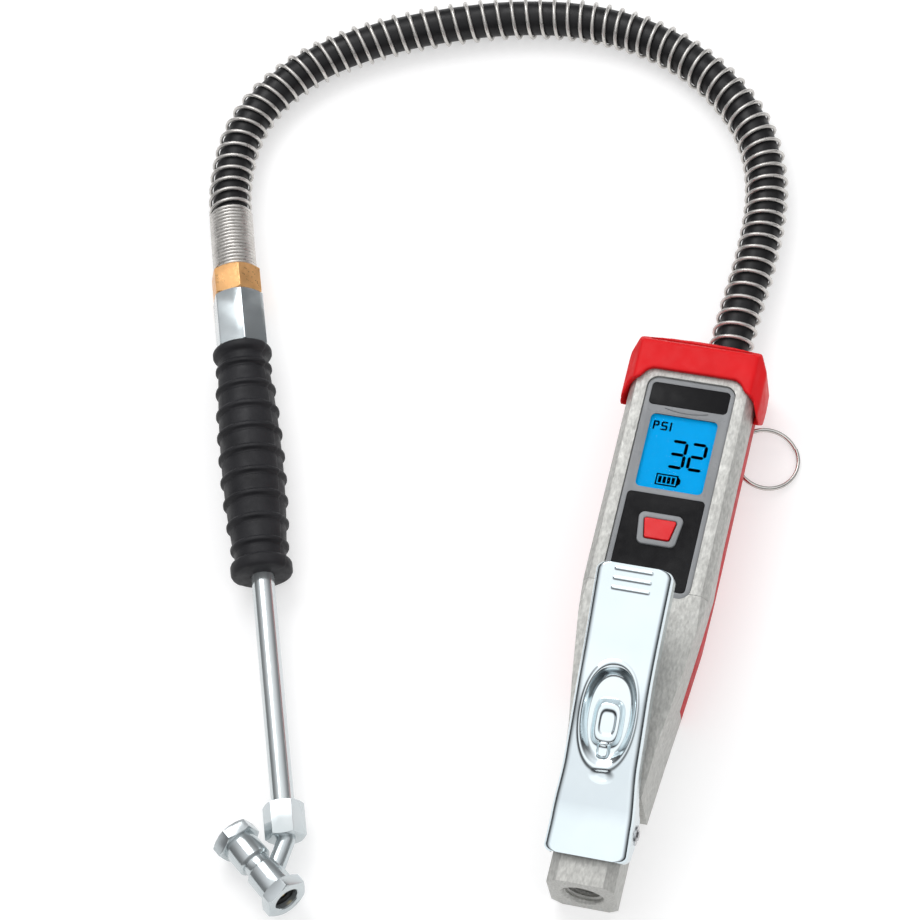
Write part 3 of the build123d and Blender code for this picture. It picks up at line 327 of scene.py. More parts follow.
def lathe(name, matrix, profile, sides):
    """Surface of revolution of (radius, distance) points in millimetres about a matrix's Z."""
    verts = []
    for r, s in profile:
        for k in range(sides):
            a = 2 * math.pi * k / sides
            verts.append(matrix @ mm(r * math.cos(a), r * math.sin(a), s))
    faces = []
    for i in range(len(profile) - 1):
        for k in range(sides):
            n = (k + 1) % sides
            faces.append((i * sides + k, i * sides + n, (i + 1) * sides + n, (i + 1) * sides + k))
    return mesh_from(name, verts, faces)


def cut(piece, tool_data):
    """Cut a temporary mesh out of a piece."""
    tool = bpy.data.objects.new("tool", tool_data)
    bpy.context.scene.collection.objects.link(tool)
    modifier = piece.modifiers.new("cut", "BOOLEAN")
    modifier.operation = "DIFFERENCE"
    modifier.solver = "EXACT"
    modifier.object = tool
    apply_modifiers(piece)
    bpy.data.objects.remove(tool)


def solid_of_revolution(name, matrix, profile):
    """Closed lathe: the profile's two ends lie on the axis."""
    bm = bmesh.new()
    bm.from_mesh(lathe(name, matrix, profile, CUTTER_SIDES))
    bmesh.ops.remove_doubles(bm, verts=bm.verts, dist=1e-6)
    bmesh.ops.recalc_face_normals(bm, faces=bm.faces)
    data = bpy.data.meshes.new(name)
    bm.to_mesh(data)
    bm.free()
    return data


def wire(name, points, radius, resolution=4):
    """Round wire through points."""
    data = bpy.data.curves.new(name, "CURVE")
    data.dimensions = "3D"
    data.bevel_depth = radius
    data.bevel_resolution = resolution
    data.use_fill_caps = True
    spline = data.splines.new("POLY")
    spline.points.add(len(points) - 1)
    for point, place in zip(spline.points, points):
        point.co = (*place, 1)
    return data


# ---------------------------------------------------------------- camera
CAMERA_ELEVATION = math.radians(62.8)
CAMERA_AZIMUTH = math.radians(27.6)
CAMERA_ROLL = math.radians(-15.7)
CAMERA_TARGET = mm(-77.6, 148.6, 2.5)
CAMERA_DISTANCE = 1.310
CAMERA_SENSOR = 36.0
CAMERA_LENS = 145.79

back = Vector((
    math.sin(CAMERA_AZIMUTH) * math.cos(CAMERA_ELEVATION),
    -math.cos(CAMERA_AZIMUTH) * math.cos(CAMERA_ELEVATION),
    math.sin(CAMERA_ELEVATION),
))
right = Vector((math.cos(CAMERA_AZIMUTH), math.sin(CAMERA_AZIMUTH), 0))
up = back.cross(right)
rolled_right = math.cos(CAMERA_ROLL) * right + math.sin(CAMERA_ROLL) * up
rolled_up = math.cos(CAMERA_ROLL) * up - math.sin(CAMERA_ROLL) * right
camera_data = bpy.data.cameras.new("camera")
camera_data.sensor_width = CAMERA_SENSOR
camera_data.lens = CAMERA_LENS
camera = bpy.data.objects.new("camera", camera_data)
bpy.context.scene.collection.objects.link(camera)
camera.matrix_world = (
    Matrix.Translation(CAMERA_TARGET + back * CAMERA_DISTANCE)
    @ Matrix((rolled_right, rolled_up, back)).transposed().to_4x4()
)
bpy.context.scene.camera = camera


# ---------------------------------------------------------------- hose and wire guard
HOSE_ROUTE = [
    mm(6.2, 194.0, -2.5), mm(6.2, 218.0, -2.5), mm(8.2, 250.0, -4.0), mm(6.6, 278.0, -4.4),
    mm(-2.5, 301.0, -4.4), mm(-20.5, 320.0, -4.4), mm(-44.0, 333.0, -4.4), mm(-71.0, 338.5, -4.4),
    mm(-100.0, 336.0, -4.4), mm(-129.0, 327.5, -4.4), mm(-154.5, 316.3, -4.4), mm(-177.5, 299.5, -4.4),
    mm(-191.5, 275.0, -4.2), mm(-190.5, 247.0, -2.4), mm(-182.47, 223.88, 0.808), mm(-177.13, 208.8, 0.59),
]
HOSE_DIAMETER = 0.0127


def route_curve(name, points):
    """Smooth NURBS curve that has the route's points as its control points."""
    data = bpy.data.curves.new(name, "CURVE")
    data.dimensions = "3D"
    data.resolution_u = 16
    spline = data.splines.new("NURBS")
    spline.points.add(len(points) - 1)
    for point, place in zip(spline.points, points):
        point.co = (*place, 1)
    spline.order_u = 3
    spline.use_endpoint_u = True
    return data


def curve_points(data):
    """Points of a curve that has no bevel, as Blender evaluates it."""
    probe = bpy.data.objects.new("probe", data)
    bpy.context.scene.collection.objects.link(probe)
    bpy.context.view_layer.update()
    mesh = bpy.data.meshes.new_from_object(probe.evaluated_get(bpy.context.evaluated_depsgraph_get()))
    points = [v.co.copy() for v in mesh.vertices]
    bpy.data.objects.remove(probe)
    return points


centreline = curve_points(route_curve("route", HOSE_ROUTE))
hose_data = route_curve("hose_tube", HOSE_ROUTE)
hose_data.bevel_depth = HOSE_DIAMETER / 2
hose_data.bevel_resolution = 12
hose_data.use_fill_caps = True
hose = add_piece("hose_tube", hose_data, "hose", ("hose",))


class Line:
    """A polyline that is measured by its length, with a direction at each point."""

    def __init__(self, points):
        self.points = points
        self.stations = [0.0]
        for a, b in zip(points, points[1:]):
            self.stations.append(self.stations[-1] + (b - a).length)
        self.length = self.stations[-1]

    def at(self, s):
        """Point and direction at a distance along the line."""
        s = min(max(s, 0.0), self.length)
        k = 0
        while k < len(self.stations) - 2 and self.stations[k + 1] < s:
            k += 1
        share = (s - self.stations[k]) / (self.stations[k + 1] - self.stations[k])
        ahead = self.points[min(k + 2, len(self.points) - 1)] - self.points[k + 1]
        here = self.points[k + 1] - self.points[k]
        direction = here.lerp(ahead, share) if ahead.length > 0 else here
        return self.points[k].lerp(self.points[k + 1], share), direction.normalized()


hose_line = Line(centreline)
GUARD_WIRE_R = 0.66 * MM
GUARD_CLEARANCE = 0.32 * MM
GUARD_MEAN_R = HOSE_DIAMETER / 2 + GUARD_WIRE_R + GUARD_CLEARANCE
GUARD_START = 7.0 * MM             # along the hose, where the guard comes out of the head
OPEN_PITCH = 5.2 * MM
CLOSE_PITCH = 1.36 * MM
CLOSE_LENGTH = 23.5 * MM
PITCH_CHANGE = 4.0 * MM            # the pitch changes from open to close over this length
PITCH_WANDER = 0.35 * MM           # unevenness of the open turns
WANDER_RATE = 61                   # radians of unevenness in a metre of hose
STEPS_PER_TURN = 24


def guard_helix():
    """Wire guard: open turns along the hose, then close turns up to the nut."""
    points = []
    close_from = hose_line.length - CLOSE_LENGTH
    s = GUARD_START
    turn = 0.0
    side = Vector((0, 0, 1))
    while s < hose_line.length - GUARD_WIRE_R:
        centre, direction = hose_line.at(s)
        side = (side - side.dot(direction) * direction).normalized()
        other = direction.cross(side)
        points.append(centre + GUARD_MEAN_R * (math.cos(turn) * side + math.sin(turn) * other))
        share = min(max((s - close_from) / PITCH_CHANGE + 1, 0.0), 1.0)
        wander = PITCH_WANDER * math.sin(s * WANDER_RATE) * (1 - share)
        pitch = OPEN_PITCH + (CLOSE_PITCH - OPEN_PITCH) * share + wander
        s += pitch / STEPS_PER_TURN
        turn += 2 * math.pi / STEPS_PER_TURN
    return points


guard = add_piece("guard_coil", wire("guard_coil", guard_helix(), GUARD_WIRE_R, resolution=3), "spring_guard",
                  ("spring_guard",))


# ---------------------------------------------------------------- lever
# (y, z) of the sheet's outer face, from the inlet end to the tip
LEVER_TOP = [(8.5, 15.0), (20.5, 18.0), (62.0, 36.6), (100.4, 47.6)]
# (distance from the inlet end, value) of the half width and of the flanges' depth
LEVER_WIDTH = [(0, 14.3), (12, 14.0), (32, 12.8), (62, 12.6), (104, 13.2)]
FLANGE_DEPTH = [(0, 5.0), (3, 9.2), (7, 13.2), (11, 15.2), (14, 15.0), (17, 11.0), (20, 8.9), (58, 9.4),
                (90, 8.6), (98, 7.6)]
LEVER_TIP_R = 3.0                  # round corners of the outline, at the tip and at the inlet end
LEVER_LIP_R = 2.4
LEVER_SHEET = 1.2                  # thickness
LEVER_CORNER = 2.6                 # radius of the bend between face and flange
LEVER_BEND_REACH = 9.0             # length over which each bend along the lever is rounded
LEVER_STEP = 0.3
LEVER_STEPS_ACROSS = 88
CORNER_BEND_STEPS = 7
FLANGE_STEPS = 8
DISH_CENTRE_Y = 52.5
DISH_HALF = (8.9, 15.6)
DISH_DEPTHS = (1.9, 4.3)           # at the two ends of the slope in its floor
DISH_SLOPE = (40.0, 66.0)
DISH_RIM = 0.40
PAD_HALF = (5.0, 7.2)
PAD_OFFSET = 2.4                   # towards the inlet from the dimple's centre
PAD_RISE = 2.0
PAD_HOLLOW = 0.6
BRIDGE_Y = 41.6
BRIDGE_HALF = (2.1, 2.4)
BRIDGE_RISE = 1.6
DENT_CENTRE = (1.0, 34.2)
DENT_HALF = (4.6, 2.6)
DENT_DEPTH = 0.6
RIDGES = (1.8, 5.1, 8.4)           # distance of each ridge from the tip
RIDGE_RISE = 0.38
RIDGE_SIDES = (0.15, 0.75)         # from a ridge's middle line to the top and foot of its side
RIDGE_ENDS = (6.0, 6.8)


def blend(x, table):
    """Smooth interpolation in a table of (position, value)."""
    if x <= table[0][0]:
        return table[0][1]
    for (x0, v0), (x1, v1) in zip(table, table[1:]):
        if x <= x1:
            t = (x - x0) / (x1 - x0)
            return v0 + (v1 - v0) * t * t * (3 - 2 * t)
    return table[-1][1]


def lever_path():
    """Distance and (y, z) along the lever's outer face at even steps, with rounded bends, and its length."""
    control = [Vector(p) for p in LEVER_TOP]
    lengths = [(b - a).length for a, b in zip(control, control[1:])]
    total = sum(lengths)
    reach = LEVER_BEND_REACH
    result = []
    count = round(total / LEVER_STEP)
    for k in range(count + 1):
        t = total * k / count
        window = [min(max(t + reach * (j / 8 - 0.5), 0.0), total) for j in range(9)]
        if t < reach / 2 or t > total - reach / 2:
            half = min(t, total - t)
            window = [t + 2 * half * (j / 8 - 0.5) for j in range(9)]
        place = Vector((0, 0))
        for w in window:
            for a, b, length in zip(control, control[1:], lengths):
                if w <= length + 1e-9:
                    place += a.lerp(b, w / length)
                    break
                w -= length
            else:
                place += control[-1]
        result.append((t, place / len(window)))
    return result, total


def rounded_box(x, y, half_x, half_y, power):
    """0 at the centre of a rounded oblong, 1 on its edge."""
    return (abs(x / half_x) ** power + abs(y / half_y) ** power) ** (1 / power)


def step_down(r, inner, outer):
    """1 inside, 0 outside, smooth between."""
    t = min(max((outer - r) / (outer - inner), 0.0), 1.0)
    return t * t * (3 - 2 * t)


def dish_depth(x, y):
    """Depth of the pressed dimple below the lever's face, with a raised pad and a bridge in it."""
    edge = rounded_box(x, y - DISH_CENTRE_Y, *DISH_HALF, power=2.2)
    along = min(max((y - DISH_SLOPE[0]) / (DISH_SLOPE[1] - DISH_SLOPE[0]), 0.0), 1.0)
    floor = DISH_DEPTHS[0] + (DISH_DEPTHS[1] - DISH_DEPTHS[0]) * along
    pad_edge = rounded_box(x, y - DISH_CENTRE_Y + PAD_OFFSET, *PAD_HALF, power=3.4)
    pad = PAD_RISE * step_down(pad_edge, 0.74, 1.08) - PAD_HOLLOW * step_down(pad_edge, 0.42, 0.60)
    bridge_edge = rounded_box(x, y - BRIDGE_Y, *BRIDGE_HALF, power=4.0)
    bridge = BRIDGE_RISE * step_down(bridge_edge, 0.7, 1.1)
    rim = DISH_RIM * step_down(abs(edge - 1.05), 0.0, 0.10)
    dent_edge = rounded_box(x - DENT_CENTRE[0], y - DENT_CENTRE[1], *DENT_HALF, power=2.0)
    dent = DENT_DEPTH * step_down(dent_edge, 0.25, 1.0)
    return (floor - pad - bridge) * step_down(edge, 0.76, 1.02) - rim + dent


def ridge_height(x, from_tip):
    """Pressed anti-slip ridges near the tip."""
    along = min(abs(from_tip - r) for r in RIDGES)
    return RIDGE_RISE * step_down(along, *RIDGE_SIDES) * step_down(abs(x), *RIDGE_ENDS)


def corner_inset(distance, radius):
    """How far a rounded corner's outline has drawn in at a distance from the end."""
    short = max(0.0, radius - distance)
    return radius - math.sqrt(radius * radius - short * short)


def lever_mesh():
    """Outer face of the pressed sheet: rows across it, each from one flange's edge to the other's."""
    path, total = lever_path()
    across = [-1 + 2 * k / LEVER_STEPS_ACROSS for k in range(LEVER_STEPS_ACROSS + 1)]
    corner = [math.pi / 2 * k / CORNER_BEND_STEPS for k in range(CORNER_BEND_STEPS)]
    rows = []
    for index, (t, place) in enumerate(path):
        before = path[max(index - 1, 0)][1]
        after = path[min(index + 1, len(path) - 1)][1]
        slope = (after - before).normalized()
        normal = Vector((-slope.y, slope.x))
        from_tip = total - t
        half = blend(t, LEVER_WIDTH) - corner_inset(from_tip, LEVER_TIP_R) - corner_inset(t, LEVER_LIP_R)
        depth = blend(t, FLANGE_DEPTH)
        depth = LEVER_CORNER + (depth - LEVER_CORNER) * min(1.0, 0.25 + from_tip / 4.0)
        row = []

        def put(x, down):
            row.append(mm(x, place.x - normal.x * down, place.y - normal.y * down))

        for k in range(FLANGE_STEPS, 0, -1):
            put(-half, LEVER_CORNER + (depth - LEVER_CORNER) * k / FLANGE_STEPS)
        for a in corner:
            put(-half + LEVER_CORNER * (1 - math.cos(a)), LEVER_CORNER * (1 - math.sin(a)))
        flat = half - LEVER_CORNER
        for u in across:
            x = u * flat
            put(x, dish_depth(x, place.x) - ridge_height(x, from_tip))
        for a in reversed(corner):
            put(half - LEVER_CORNER * (1 - math.cos(a)), LEVER_CORNER * (1 - math.sin(a)))
        for k in range(1, FLANGE_STEPS + 1):
            put(half, LEVER_CORNER + (depth - LEVER_CORNER) * k / FLANGE_STEPS)
        rows.append(row)
    width = len(rows[0])
    verts = [v for row in rows for v in row]
    faces = []
    for i in range(len(rows) - 1):
        for j in range(width - 1):
            a = i * width + j
            faces.append((a, a + 1, a + width + 1, a + width))
    return mesh_from("lever_sheet", verts, faces)


lever = add_piece("lever_sheet", lever_mesh(), "lever", ("lever",))
sheet = lever.modifiers.new("sheet", "SOLIDIFY")
sheet.thickness = LEVER_SHEET * MM
sheet.offset = -1
apply_modifiers(lever)
smooth(lever, 50)


# ---------------------------------------------------------------- valve casting and shells
valve_casting = add_piece("valve_casting", copy_of("valve_body"), "valve_body", ("valve_body",))
THREAD_MAJOR_R = 6.58
THREAD_MINOR_R = 5.72
THREAD_PITCH = 1.337
THREAD_DEPTH = 12.0
THREAD_START = 0.55
THREAD_SPARE = 0.9                 # the part of the bore's depth that the ridge doesn't take up
THREAD_BITE = 0.02                 # the ridge's root reaches this far into the bore's wall
THREAD_HALF_ROOT = 0.66            # half the ridge's width at its root
THREAD_HALF_CREST = 0.12
THREAD_FADE = 0.8                  # the crest is lower by this at the mouth, and whole after one turn
MOUTH_R = 7.6
MOUTH_CHAMFER = 0.95
cut(valve_casting, solid_of_revolution("mouth", inlet, [
    (0, -1), (MOUTH_R, -1), (MOUTH_R, -0.01), (THREAD_MAJOR_R, MOUTH_CHAMFER),
    (THREAD_MAJOR_R, THREAD_DEPTH), (0, THREAD_DEPTH)]))
finished(valve_casting, 0.7)


def thread_mesh():
    """Internal thread: a V-shaped ridge that winds along the bore."""
    steps = 48
    turns = (THREAD_DEPTH - THREAD_SPARE) / THREAD_PITCH
    count = round(steps * turns)
    root = THREAD_MAJOR_R + THREAD_BITE
    verts = []
    for k in range(count + 1):
        a = 2 * math.pi * k / steps
        s = THREAD_START + THREAD_PITCH * k / steps
        crest = THREAD_MINOR_R + THREAD_FADE * max(0.0, 1 - k / steps)
        for r, ds in ((root, -THREAD_HALF_ROOT), (crest, -THREAD_HALF_CREST), (crest, THREAD_HALF_CREST),
                      (root, THREAD_HALF_ROOT)):
            verts.append(inlet @ mm(r * math.cos(a), r * math.sin(a), s + ds))
    faces = []
    for k in range(count):
        for j in range(3):
            a = 4 * k + j
            faces.append((a, a + 1, a + 5, a + 4))
    return mesh_from("inlet_thread", verts, faces)


thread = add_piece("inlet_thread", thread_mesh(), "valve_body")
smooth(thread, 30)

soft_rubber("bumper")
EDGE_WIDTHS = {
    "front_shell": 0.6, "rear_cover": 0.5, "fascia": 0.25, "label_plate": 0.15, "button_bezel": 0.45,
    "scale_button": 0.25, "battery_door": 0.2, "brass_nut": 0.22, "hex_adaptor": 0.22, "tube_collar": 0.22,
    "front_cap": 0.22, "rear_cap": 0.22, "connector_body": 0.25, "keypad_panel": 0.15,
}
for node, width in EDGE_WIDTHS.items():
    rounded(node, width)


# ---------------------------------------------------------------- grip
GRIP_START = 32.3
GRIP_END = 122.0
GRIP_MIDDLE = 79.0
GRIP_RIBS = 9
FIRST_RIB = GRIP_START + 8.2
LAST_RIB = GRIP_END - 10.5
RIB_RISE = 0.95
RIB_SIDES = (0.45, 1.25)           # from a rib's middle to the top and foot of its side
GROOVE_DEPTH = 0.28                # beside each rib, towards the lance
GROOVE_OFFSET = 1.7
GRIP_R = 11.1
GRIP_TAPER = 2.5                   # how much thinner the grip is a spread away from its middle
GRIP_SPREAD = (46.0, 42.0)         # towards the hose and towards the lance
GRIP_SKIN_R = 7.0                  # all of the sleeve's outer skin is further out than this
GRIP_PROFILE_STEP = 0.3
GRIP_SIDES = 180


def grip_profile():
    """Outer half section of the grip as (radius, distance), ribs rounded."""
    collar = [(6.6, 0.02), (9.9, 0.02), (10.5, 0.3), (10.8, 0.9), (10.8, 2.2), (10.4, 3.0), (9.4, 3.6)]
    flange = [(9.9, 5.2), (10.8, 4.6), (11.1, 3.9), (11.1, 1.3), (10.7, 0.5), (9.9, 0.05), (4.15, 0.05)]
    profile = [(r, GRIP_START + s) for r, s in collar]
    pitch = (LAST_RIB - FIRST_RIB) / (GRIP_RIBS - 1)
    s = GRIP_START + 4.2
    while s < GRIP_END - 5.4:
        spread = GRIP_SPREAD[0] if s < GRIP_MIDDLE else GRIP_SPREAD[1]
        base = GRIP_R - GRIP_TAPER * ((s - GRIP_MIDDLE) / spread) ** 2
        nearest = FIRST_RIB + pitch * min(max(round((s - FIRST_RIB) / pitch), 0), GRIP_RIBS - 1)
        offset = s - nearest
        rib = RIB_RISE * step_down(abs(offset), *RIB_SIDES)
        groove = GROOVE_DEPTH * step_down(abs(offset - GROOVE_OFFSET), 0.0, 0.7)
        profile.append((base + rib - groove, s))
        s += GRIP_PROFILE_STEP
    profile += [(r, GRIP_END - s) for r, s in flange]
    return profile


GRIP_PARTING = math.radians(31)    # angle of the parting line about the handset
GRIP_STEP = 0.32                   # the mould half away from the display side is smaller by this


def grip_mesh():
    """Grip sleeve: a lathe whose two mould halves differ a little, with a step at the parting lines."""
    data = lathe("grip_sleeve", handset, grip_profile(), GRIP_SIDES)
    to_local = handset.inverted()
    for vertex in data.vertices:
        place = to_local @ vertex.co
        angle = math.atan2(place.y, place.x) - GRIP_PARTING
        away = -math.sin(angle)
        radius = math.hypot(place.x, place.y)
        if radius > GRIP_SKIN_R * MM:
            share = 1 - GRIP_STEP * MM * step_down(-away, -0.02, 0.02) / radius
            vertex.co = handset @ Vector((place.x * share, place.y * share, place.z))
    return data


grip = add_piece("grip_sleeve", grip_mesh(), "grip", ("grip",))
smooth(grip, 60)


# ---------------------------------------------------------------- display
FACE_Z = 18.22                     # just above the display module, under the lens
INK_RISE = 0.05
MASK_LOW = 19.52
MASK_HIGH = 19.66
PLATE_THICKNESS = 0.03
WINDOW_HALF = 12.15
WINDOW_ENDS = (141.7, 170.8)
CORNER_STEPS = 8                   # facets in each round corner of the window


def plate(name, outline, z, node):
    """Thin flat shape in the display's plane, from (x, y) points in millimetres."""
    bm = bmesh.new()
    base = [bm.verts.new(mm(x, y, z)) for x, y in outline]
    face = bm.faces.new(base)
    lifted = bmesh.ops.extrude_face_region(bm, geom=[face])["geom"]
    top = [g for g in lifted if isinstance(g, bmesh.types.BMVert)]
    bmesh.ops.translate(bm, vec=mm(0, 0, PLATE_THICKNESS), verts=top)
    bmesh.ops.recalc_face_normals(bm, faces=bm.faces)
    data = bpy.data.meshes.new(name)
    bm.to_mesh(data)
    bm.free()
    return add_piece(name, data, node, slot="display")


def window_outline(margin, radius):
    """The display window, drawn in by a margin on all sides, with round corners, as a list of points."""
    right_centre = WINDOW_HALF - margin - radius
    low_centre = WINDOW_ENDS[0] + margin + radius
    high_centre = WINDOW_ENDS[1] - margin - radius
    corners = ((right_centre, high_centre), (-right_centre, high_centre),
               (-right_centre, low_centre), (right_centre, low_centre))
    points = []
    for quarter, (x, y) in enumerate(corners):
        for k in range(CORNER_STEPS + 1):
            a = math.pi / 2 * (quarter + k / CORNER_STEPS)
            points.append((x + radius * math.cos(a), y + radius * math.sin(a)))
    return points


STROKE = 1.15
SEGMENT_GAP = 0.16
SEGMENTS = {"3": "abcdg", "2": "abdeg"}
DIGITS = ((-2.4, "3"), (4.5, "2"))      # left edge of each digit
DIGIT_Y = 151.7
DIGIT_SIZE = (5.0, 9.8)
shaders["ink"] = moulded("display_ink", (0.006, 0.035, 0.085), (0.005, 0.03, 0.075), 0.5)


def segment_outline(letter, x, y):
    """Outline of one bar of a seven-bar figure whose lower left corner is at (x, y)."""
    w, h = DIGIT_SIZE
    half = STROKE / 2
    gap = SEGMENT_GAP
    horizontal = {"a": h, "g": h / 2, "d": 0}
    if letter in horizontal:
        mid = y + horizontal[letter]
        left, right = x + gap, x + w - gap
        return [(left, mid), (left + half, mid + half), (right - half, mid + half), (right, mid),
                (right - half, mid - half), (left + half, mid - half)]
    mid = x + (w if letter in "bc" else 0)
    base = y + (h / 2 if letter in "bf" else 0)
    low, high = base + gap, base + h / 2 - gap
    return [(mid, low), (mid + half, low + half), (mid + half, high - half), (mid, high),
            (mid - half, high - half), (mid - half, low + half)]


def ink(name, outline):
    """Dark part of the liquid crystal picture."""
    piece = plate(name, outline, FACE_Z + INK_RISE, "display_module")
    piece.data.materials[0] = shaders["ink"].material


def box_outline(x0, y0, x1, y1):
    return [(x0, y0), (x1, y0), (x1, y1), (x0, y1)]


for start, digit in DIGITS:
    for letter in SEGMENTS[digit]:
        ink("digit_" + digit + "_" + letter, segment_outline(letter, start, DIGIT_Y))

# pressure unit: letters P, S and I as straight strokes
UNIT_Y = 164.9
UNIT_H = 3.4
UNIT_TOP = UNIT_Y + UNIT_H
UNIT_STROKE = 0.62
UNIT_WAIST = UNIT_Y + 1.4          # lower edge of the middle strokes
UNIT_TURN = UNIT_Y + 1.7           # where an upright stroke ends at the waist
UNIT_NOTCH = 0.25                  # an upright stroke of a bow stops this far from top or foot


def upright(x, y0, y1):
    """Upright stroke of a unit letter, from its left edge."""
    return box_outline(x, y0, x + UNIT_STROKE, y1)


def level(x0, x1, y):
    """Level stroke of a unit letter, from its lower edge."""
    return box_outline(x0, y, x1, y + UNIT_STROKE)


for name, outline in {
    "p_stem": upright(-10.6, UNIT_Y, UNIT_TOP),
    "p_top": level(-10.6, -8.8, UNIT_TOP - UNIT_STROKE),
    "p_side": upright(-9.1, UNIT_TURN, UNIT_TOP - UNIT_NOTCH),
    "p_low": level(-10.6, -8.8, UNIT_WAIST),
    "s_top": level(-7.5, -5.6, UNIT_TOP - UNIT_STROKE),
    "s_left": upright(-7.8, UNIT_TURN, UNIT_TOP - UNIT_NOTCH),
    "s_middle": level(-7.6, -5.8, UNIT_WAIST),
    "s_right": upright(-6.1, UNIT_Y + UNIT_NOTCH, UNIT_TURN),
    "s_low": level(-7.8, -5.8, UNIT_Y),
    "i_stem": upright(-4.7, UNIT_Y, UNIT_TOP),
}.items():
    ink("unit_" + name, outline)

# battery sign: a frame, four cells and a nose
BATTERY = (-5.4, 144.2, 2.3, 148.6)
BATTERY_EDGE = 0.5
CELL_INSET = 0.95
CELL_WIDTH = 1.1
CELL_PITCH = 1.55
x0, y0, x1, y1 = BATTERY
for name, outline in {
    "low": box_outline(x0, y0, x1, y0 + BATTERY_EDGE),
    "high": box_outline(x0, y1 - BATTERY_EDGE, x1, y1),
    "left": box_outline(x0, y0, x0 + BATTERY_EDGE, y1),
    "right": box_outline(x1 - BATTERY_EDGE, y0, x1, y1),
    "nose": [(x1, y0 + 0.5), (x1 + 1.0, y0 + 1.5), (x1 + 1.0, y1 - 1.5), (x1, y1 - 0.5)],
}.items():
    ink("battery_sign_" + name, outline)
for k in range(4):
    start = x0 + CELL_INSET + CELL_PITCH * k
    ink("battery_sign_cell_%d" % k, box_outline(start, y0 + CELL_INSET, start + CELL_WIDTH, y1 - CELL_INSET))

# backlit face of the display, over its module
display_face = plate("display_face", window_outline(0, 1.3), FACE_Z - 0.02, "display_module")
glow = Shader("display_glow", (0.0, 0.30, 0.72), 0.6)
glow.set("Specular IOR Level", 0.05)
glow.colour(glow.noise(18, 2), (0.0, 0.27, 0.62), (0.0, 0.31, 0.70))
glow.set("Emission Color", (0.0, 0.40, 0.80, 1.0))
glow.set("Emission Strength", 0.22)
display_face.data.materials[0] = glow.material


def frame_between(name, outer, inner, low, high):
    """Flat frame between two outlines with the same number of points, on the fascia."""
    count = len(outer)
    verts = []
    for z in (low, high):
        verts += [mm(x, y, z) for x, y in outer]
        verts += [mm(x, y, z) for x, y in inner]
    faces = []
    for k in range(count):
        n = (k + 1) % count
        low_out, low_in, top_out, top_in = k, count + k, 2 * count + k, 3 * count + k
        faces.append((top_out, 2 * count + n, 3 * count + n, top_in))
        faces.append((low_out, low_in, count + n, n))
        faces.append((low_out, n, 2 * count + n, top_out))
        faces.append((low_in, top_in, 3 * count + n, count + n))
    add_piece(name, mesh_from(name, verts, faces), "fascia")


# grey mask that rounds the corners of the window
frame_between("window_mask", window_outline(-0.08, 0.05), window_outline(0.35, 1.9), MASK_LOW, MASK_HIGH)

# slim raised line between the label and the display, lower in its middle than at its ends
BROW_HALF = 7.6
BROW_END_Y = 172.9
BROW_SAG = 1.0
BROW_Z = 19.74
BROW_R = 0.26
brow_points = []
for k in range(17):
    u = -1 + k / 8
    brow_points.append(mm(BROW_HALF * u, BROW_END_Y - BROW_SAG * (1 - u * u), BROW_Z))
add_piece("window_brow", wire("window_brow", brow_points, BROW_R * MM, resolution=2), "fascia")


# ---------------------------------------------------------------- hanging ring: split ring of two turns
RING_R = 11.2
RING_WIRE_R = 0.7
RING_EYE = (15.8, 173.0, -6.0)
RING_DROP = math.radians(14.3)
ring_axes = axes_at(
    mm(RING_EYE[0] + RING_R * math.cos(RING_DROP), RING_EYE[1], RING_EYE[2] - RING_R * math.sin(RING_DROP)),
    Vector((math.cos(RING_DROP), 0, -math.sin(RING_DROP))),
    Vector((math.sin(RING_DROP), 0, math.cos(RING_DROP))),
)
RING_STEPS = 96                    # wire points in each of the two turns
RING_CUT = 0.6                     # angle about the ring where the wire's ends are
RING_RISE = 1.0                    # how far the wire climbs over both turns
ring_points = []
for k in range(2 * RING_STEPS + 1):
    a = 2 * math.pi * k / RING_STEPS + RING_CUT
    lift = RING_RISE * (k / (2 * RING_STEPS) - 0.5)
    ring_points.append(ring_axes @ mm(RING_R * math.cos(a), RING_R * math.sin(a), lift))
add_piece("split_ring", wire("split_ring", ring_points, RING_WIRE_R * MM), "hanging_ring", ("hanging_ring",))


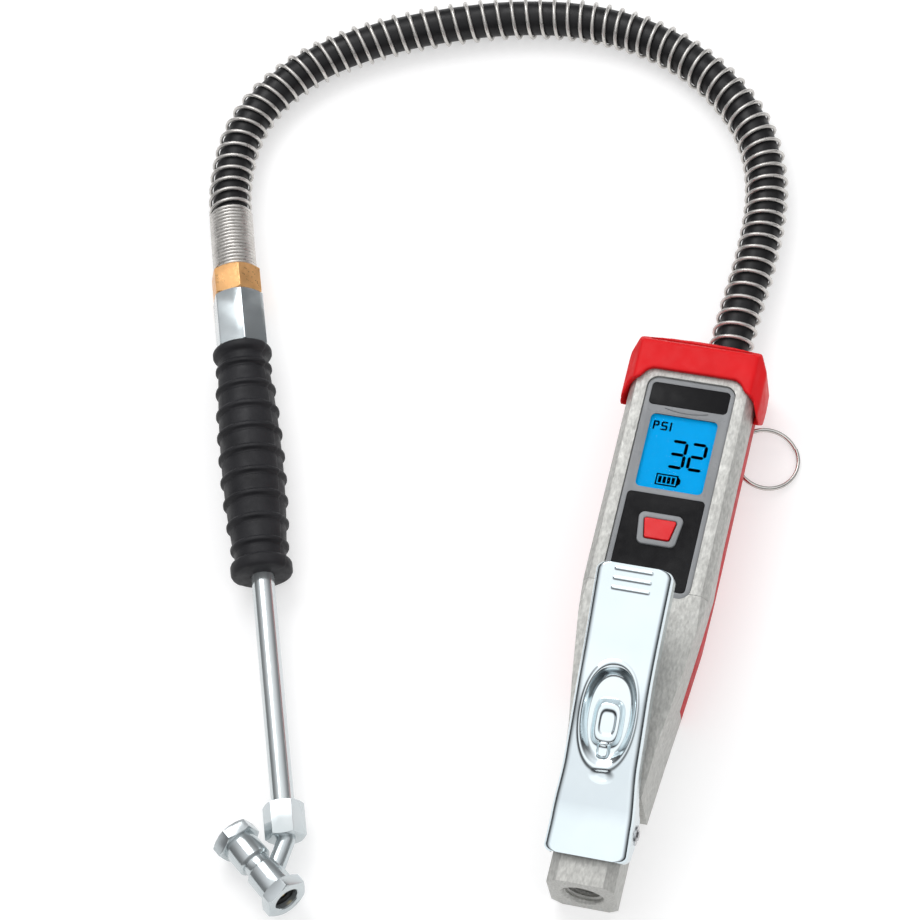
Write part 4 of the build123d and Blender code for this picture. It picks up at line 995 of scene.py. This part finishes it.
# ---------------------------------------------------------------- floor and light
FLOOR_Z = cad_box[0].z
FLOOR_HALF = 3
floor_corners = [(x * FLOOR_HALF, y * FLOOR_HALF, FLOOR_Z) for x, y in ((-1, -1), (1, -1), (1, 1), (-1, 1))]
floor_data = mesh_from("floor", floor_corners, [(0, 1, 2, 3)])
floor = bpy.data.objects.new("floor", floor_data)
bpy.context.scene.collection.objects.link(floor)
paper = Shader("white_paper", (0.56, 0.56, 0.56), 0.95)
paper.colour(paper.noise(2), (0.55, 0.55, 0.55), (0.57, 0.57, 0.57))
paper.set("Emission Color", (1.0, 1.0, 1.0, 1.0))
paper.set("Emission Strength", 0.52)
floor_data.materials.append(paper.material)

bpy.context.scene.view_settings.view_transform = "Standard"
world = bpy.data.worlds.new("studio")
world.use_nodes = True
sky = world.node_tree
direction = sky.nodes.new("ShaderNodeTexCoord").outputs["Generated"]
split = sky.nodes.new("ShaderNodeSeparateXYZ")
shade = sky.nodes.new("ShaderNodeValToRGB")
# (height, brightness) of the surroundings, dark low down
SKY_LEVELS = ((0.25, 0.04), (0.48, 0.16), (0.70, 0.50), (0.86, 0.80))
for place, grey in SKY_LEVELS:
    shade.color_ramp.elements.new(place).color = (grey, grey, grey * 1.02, 1)
shade.color_ramp.elements[0].color = (0.02, 0.022, 0.03, 1)
shade.color_ramp.elements[-1].position = 0.95
sky.links.new(direction, split.inputs["Vector"])
sky.links.new(split.outputs["Z"], shade.inputs["Fac"])
sky.links.new(shade.outputs["Color"], sky.nodes["Background"].inputs["Color"])
sky.nodes["Background"].inputs["Strength"].default_value = 1.25
bpy.context.scene.world = world


def area_light(name, place, aim, size, energy, mirrored=True):
    """Rectangular soft light that points at a target; mirrored says whether gloss shows it."""
    data = bpy.data.lights.new(name, "AREA")
    data.shape = "RECTANGLE"
    data.size, data.size_y = size
    data.energy = energy
    light = bpy.data.objects.new(name, data)
    light.visible_glossy = mirrored
    light.location = place
    light.rotation_euler = (Vector(aim) - Vector(place)).to_track_quat("-Z", "Y").to_euler()
    bpy.context.scene.collection.objects.link(light)


centre = (-0.07, 0.15, 0.0)
area_light("key", (-0.55, 0.75, 1.1), centre, (0.9, 0.7), 6.5)
area_light("fill", (0.9, -0.3, 0.9), centre, (0.7, 0.9), 2.5, False)
area_light("rim", (0.1, 1.2, 0.5), centre, (1.2, 0.3), 2.0, False)

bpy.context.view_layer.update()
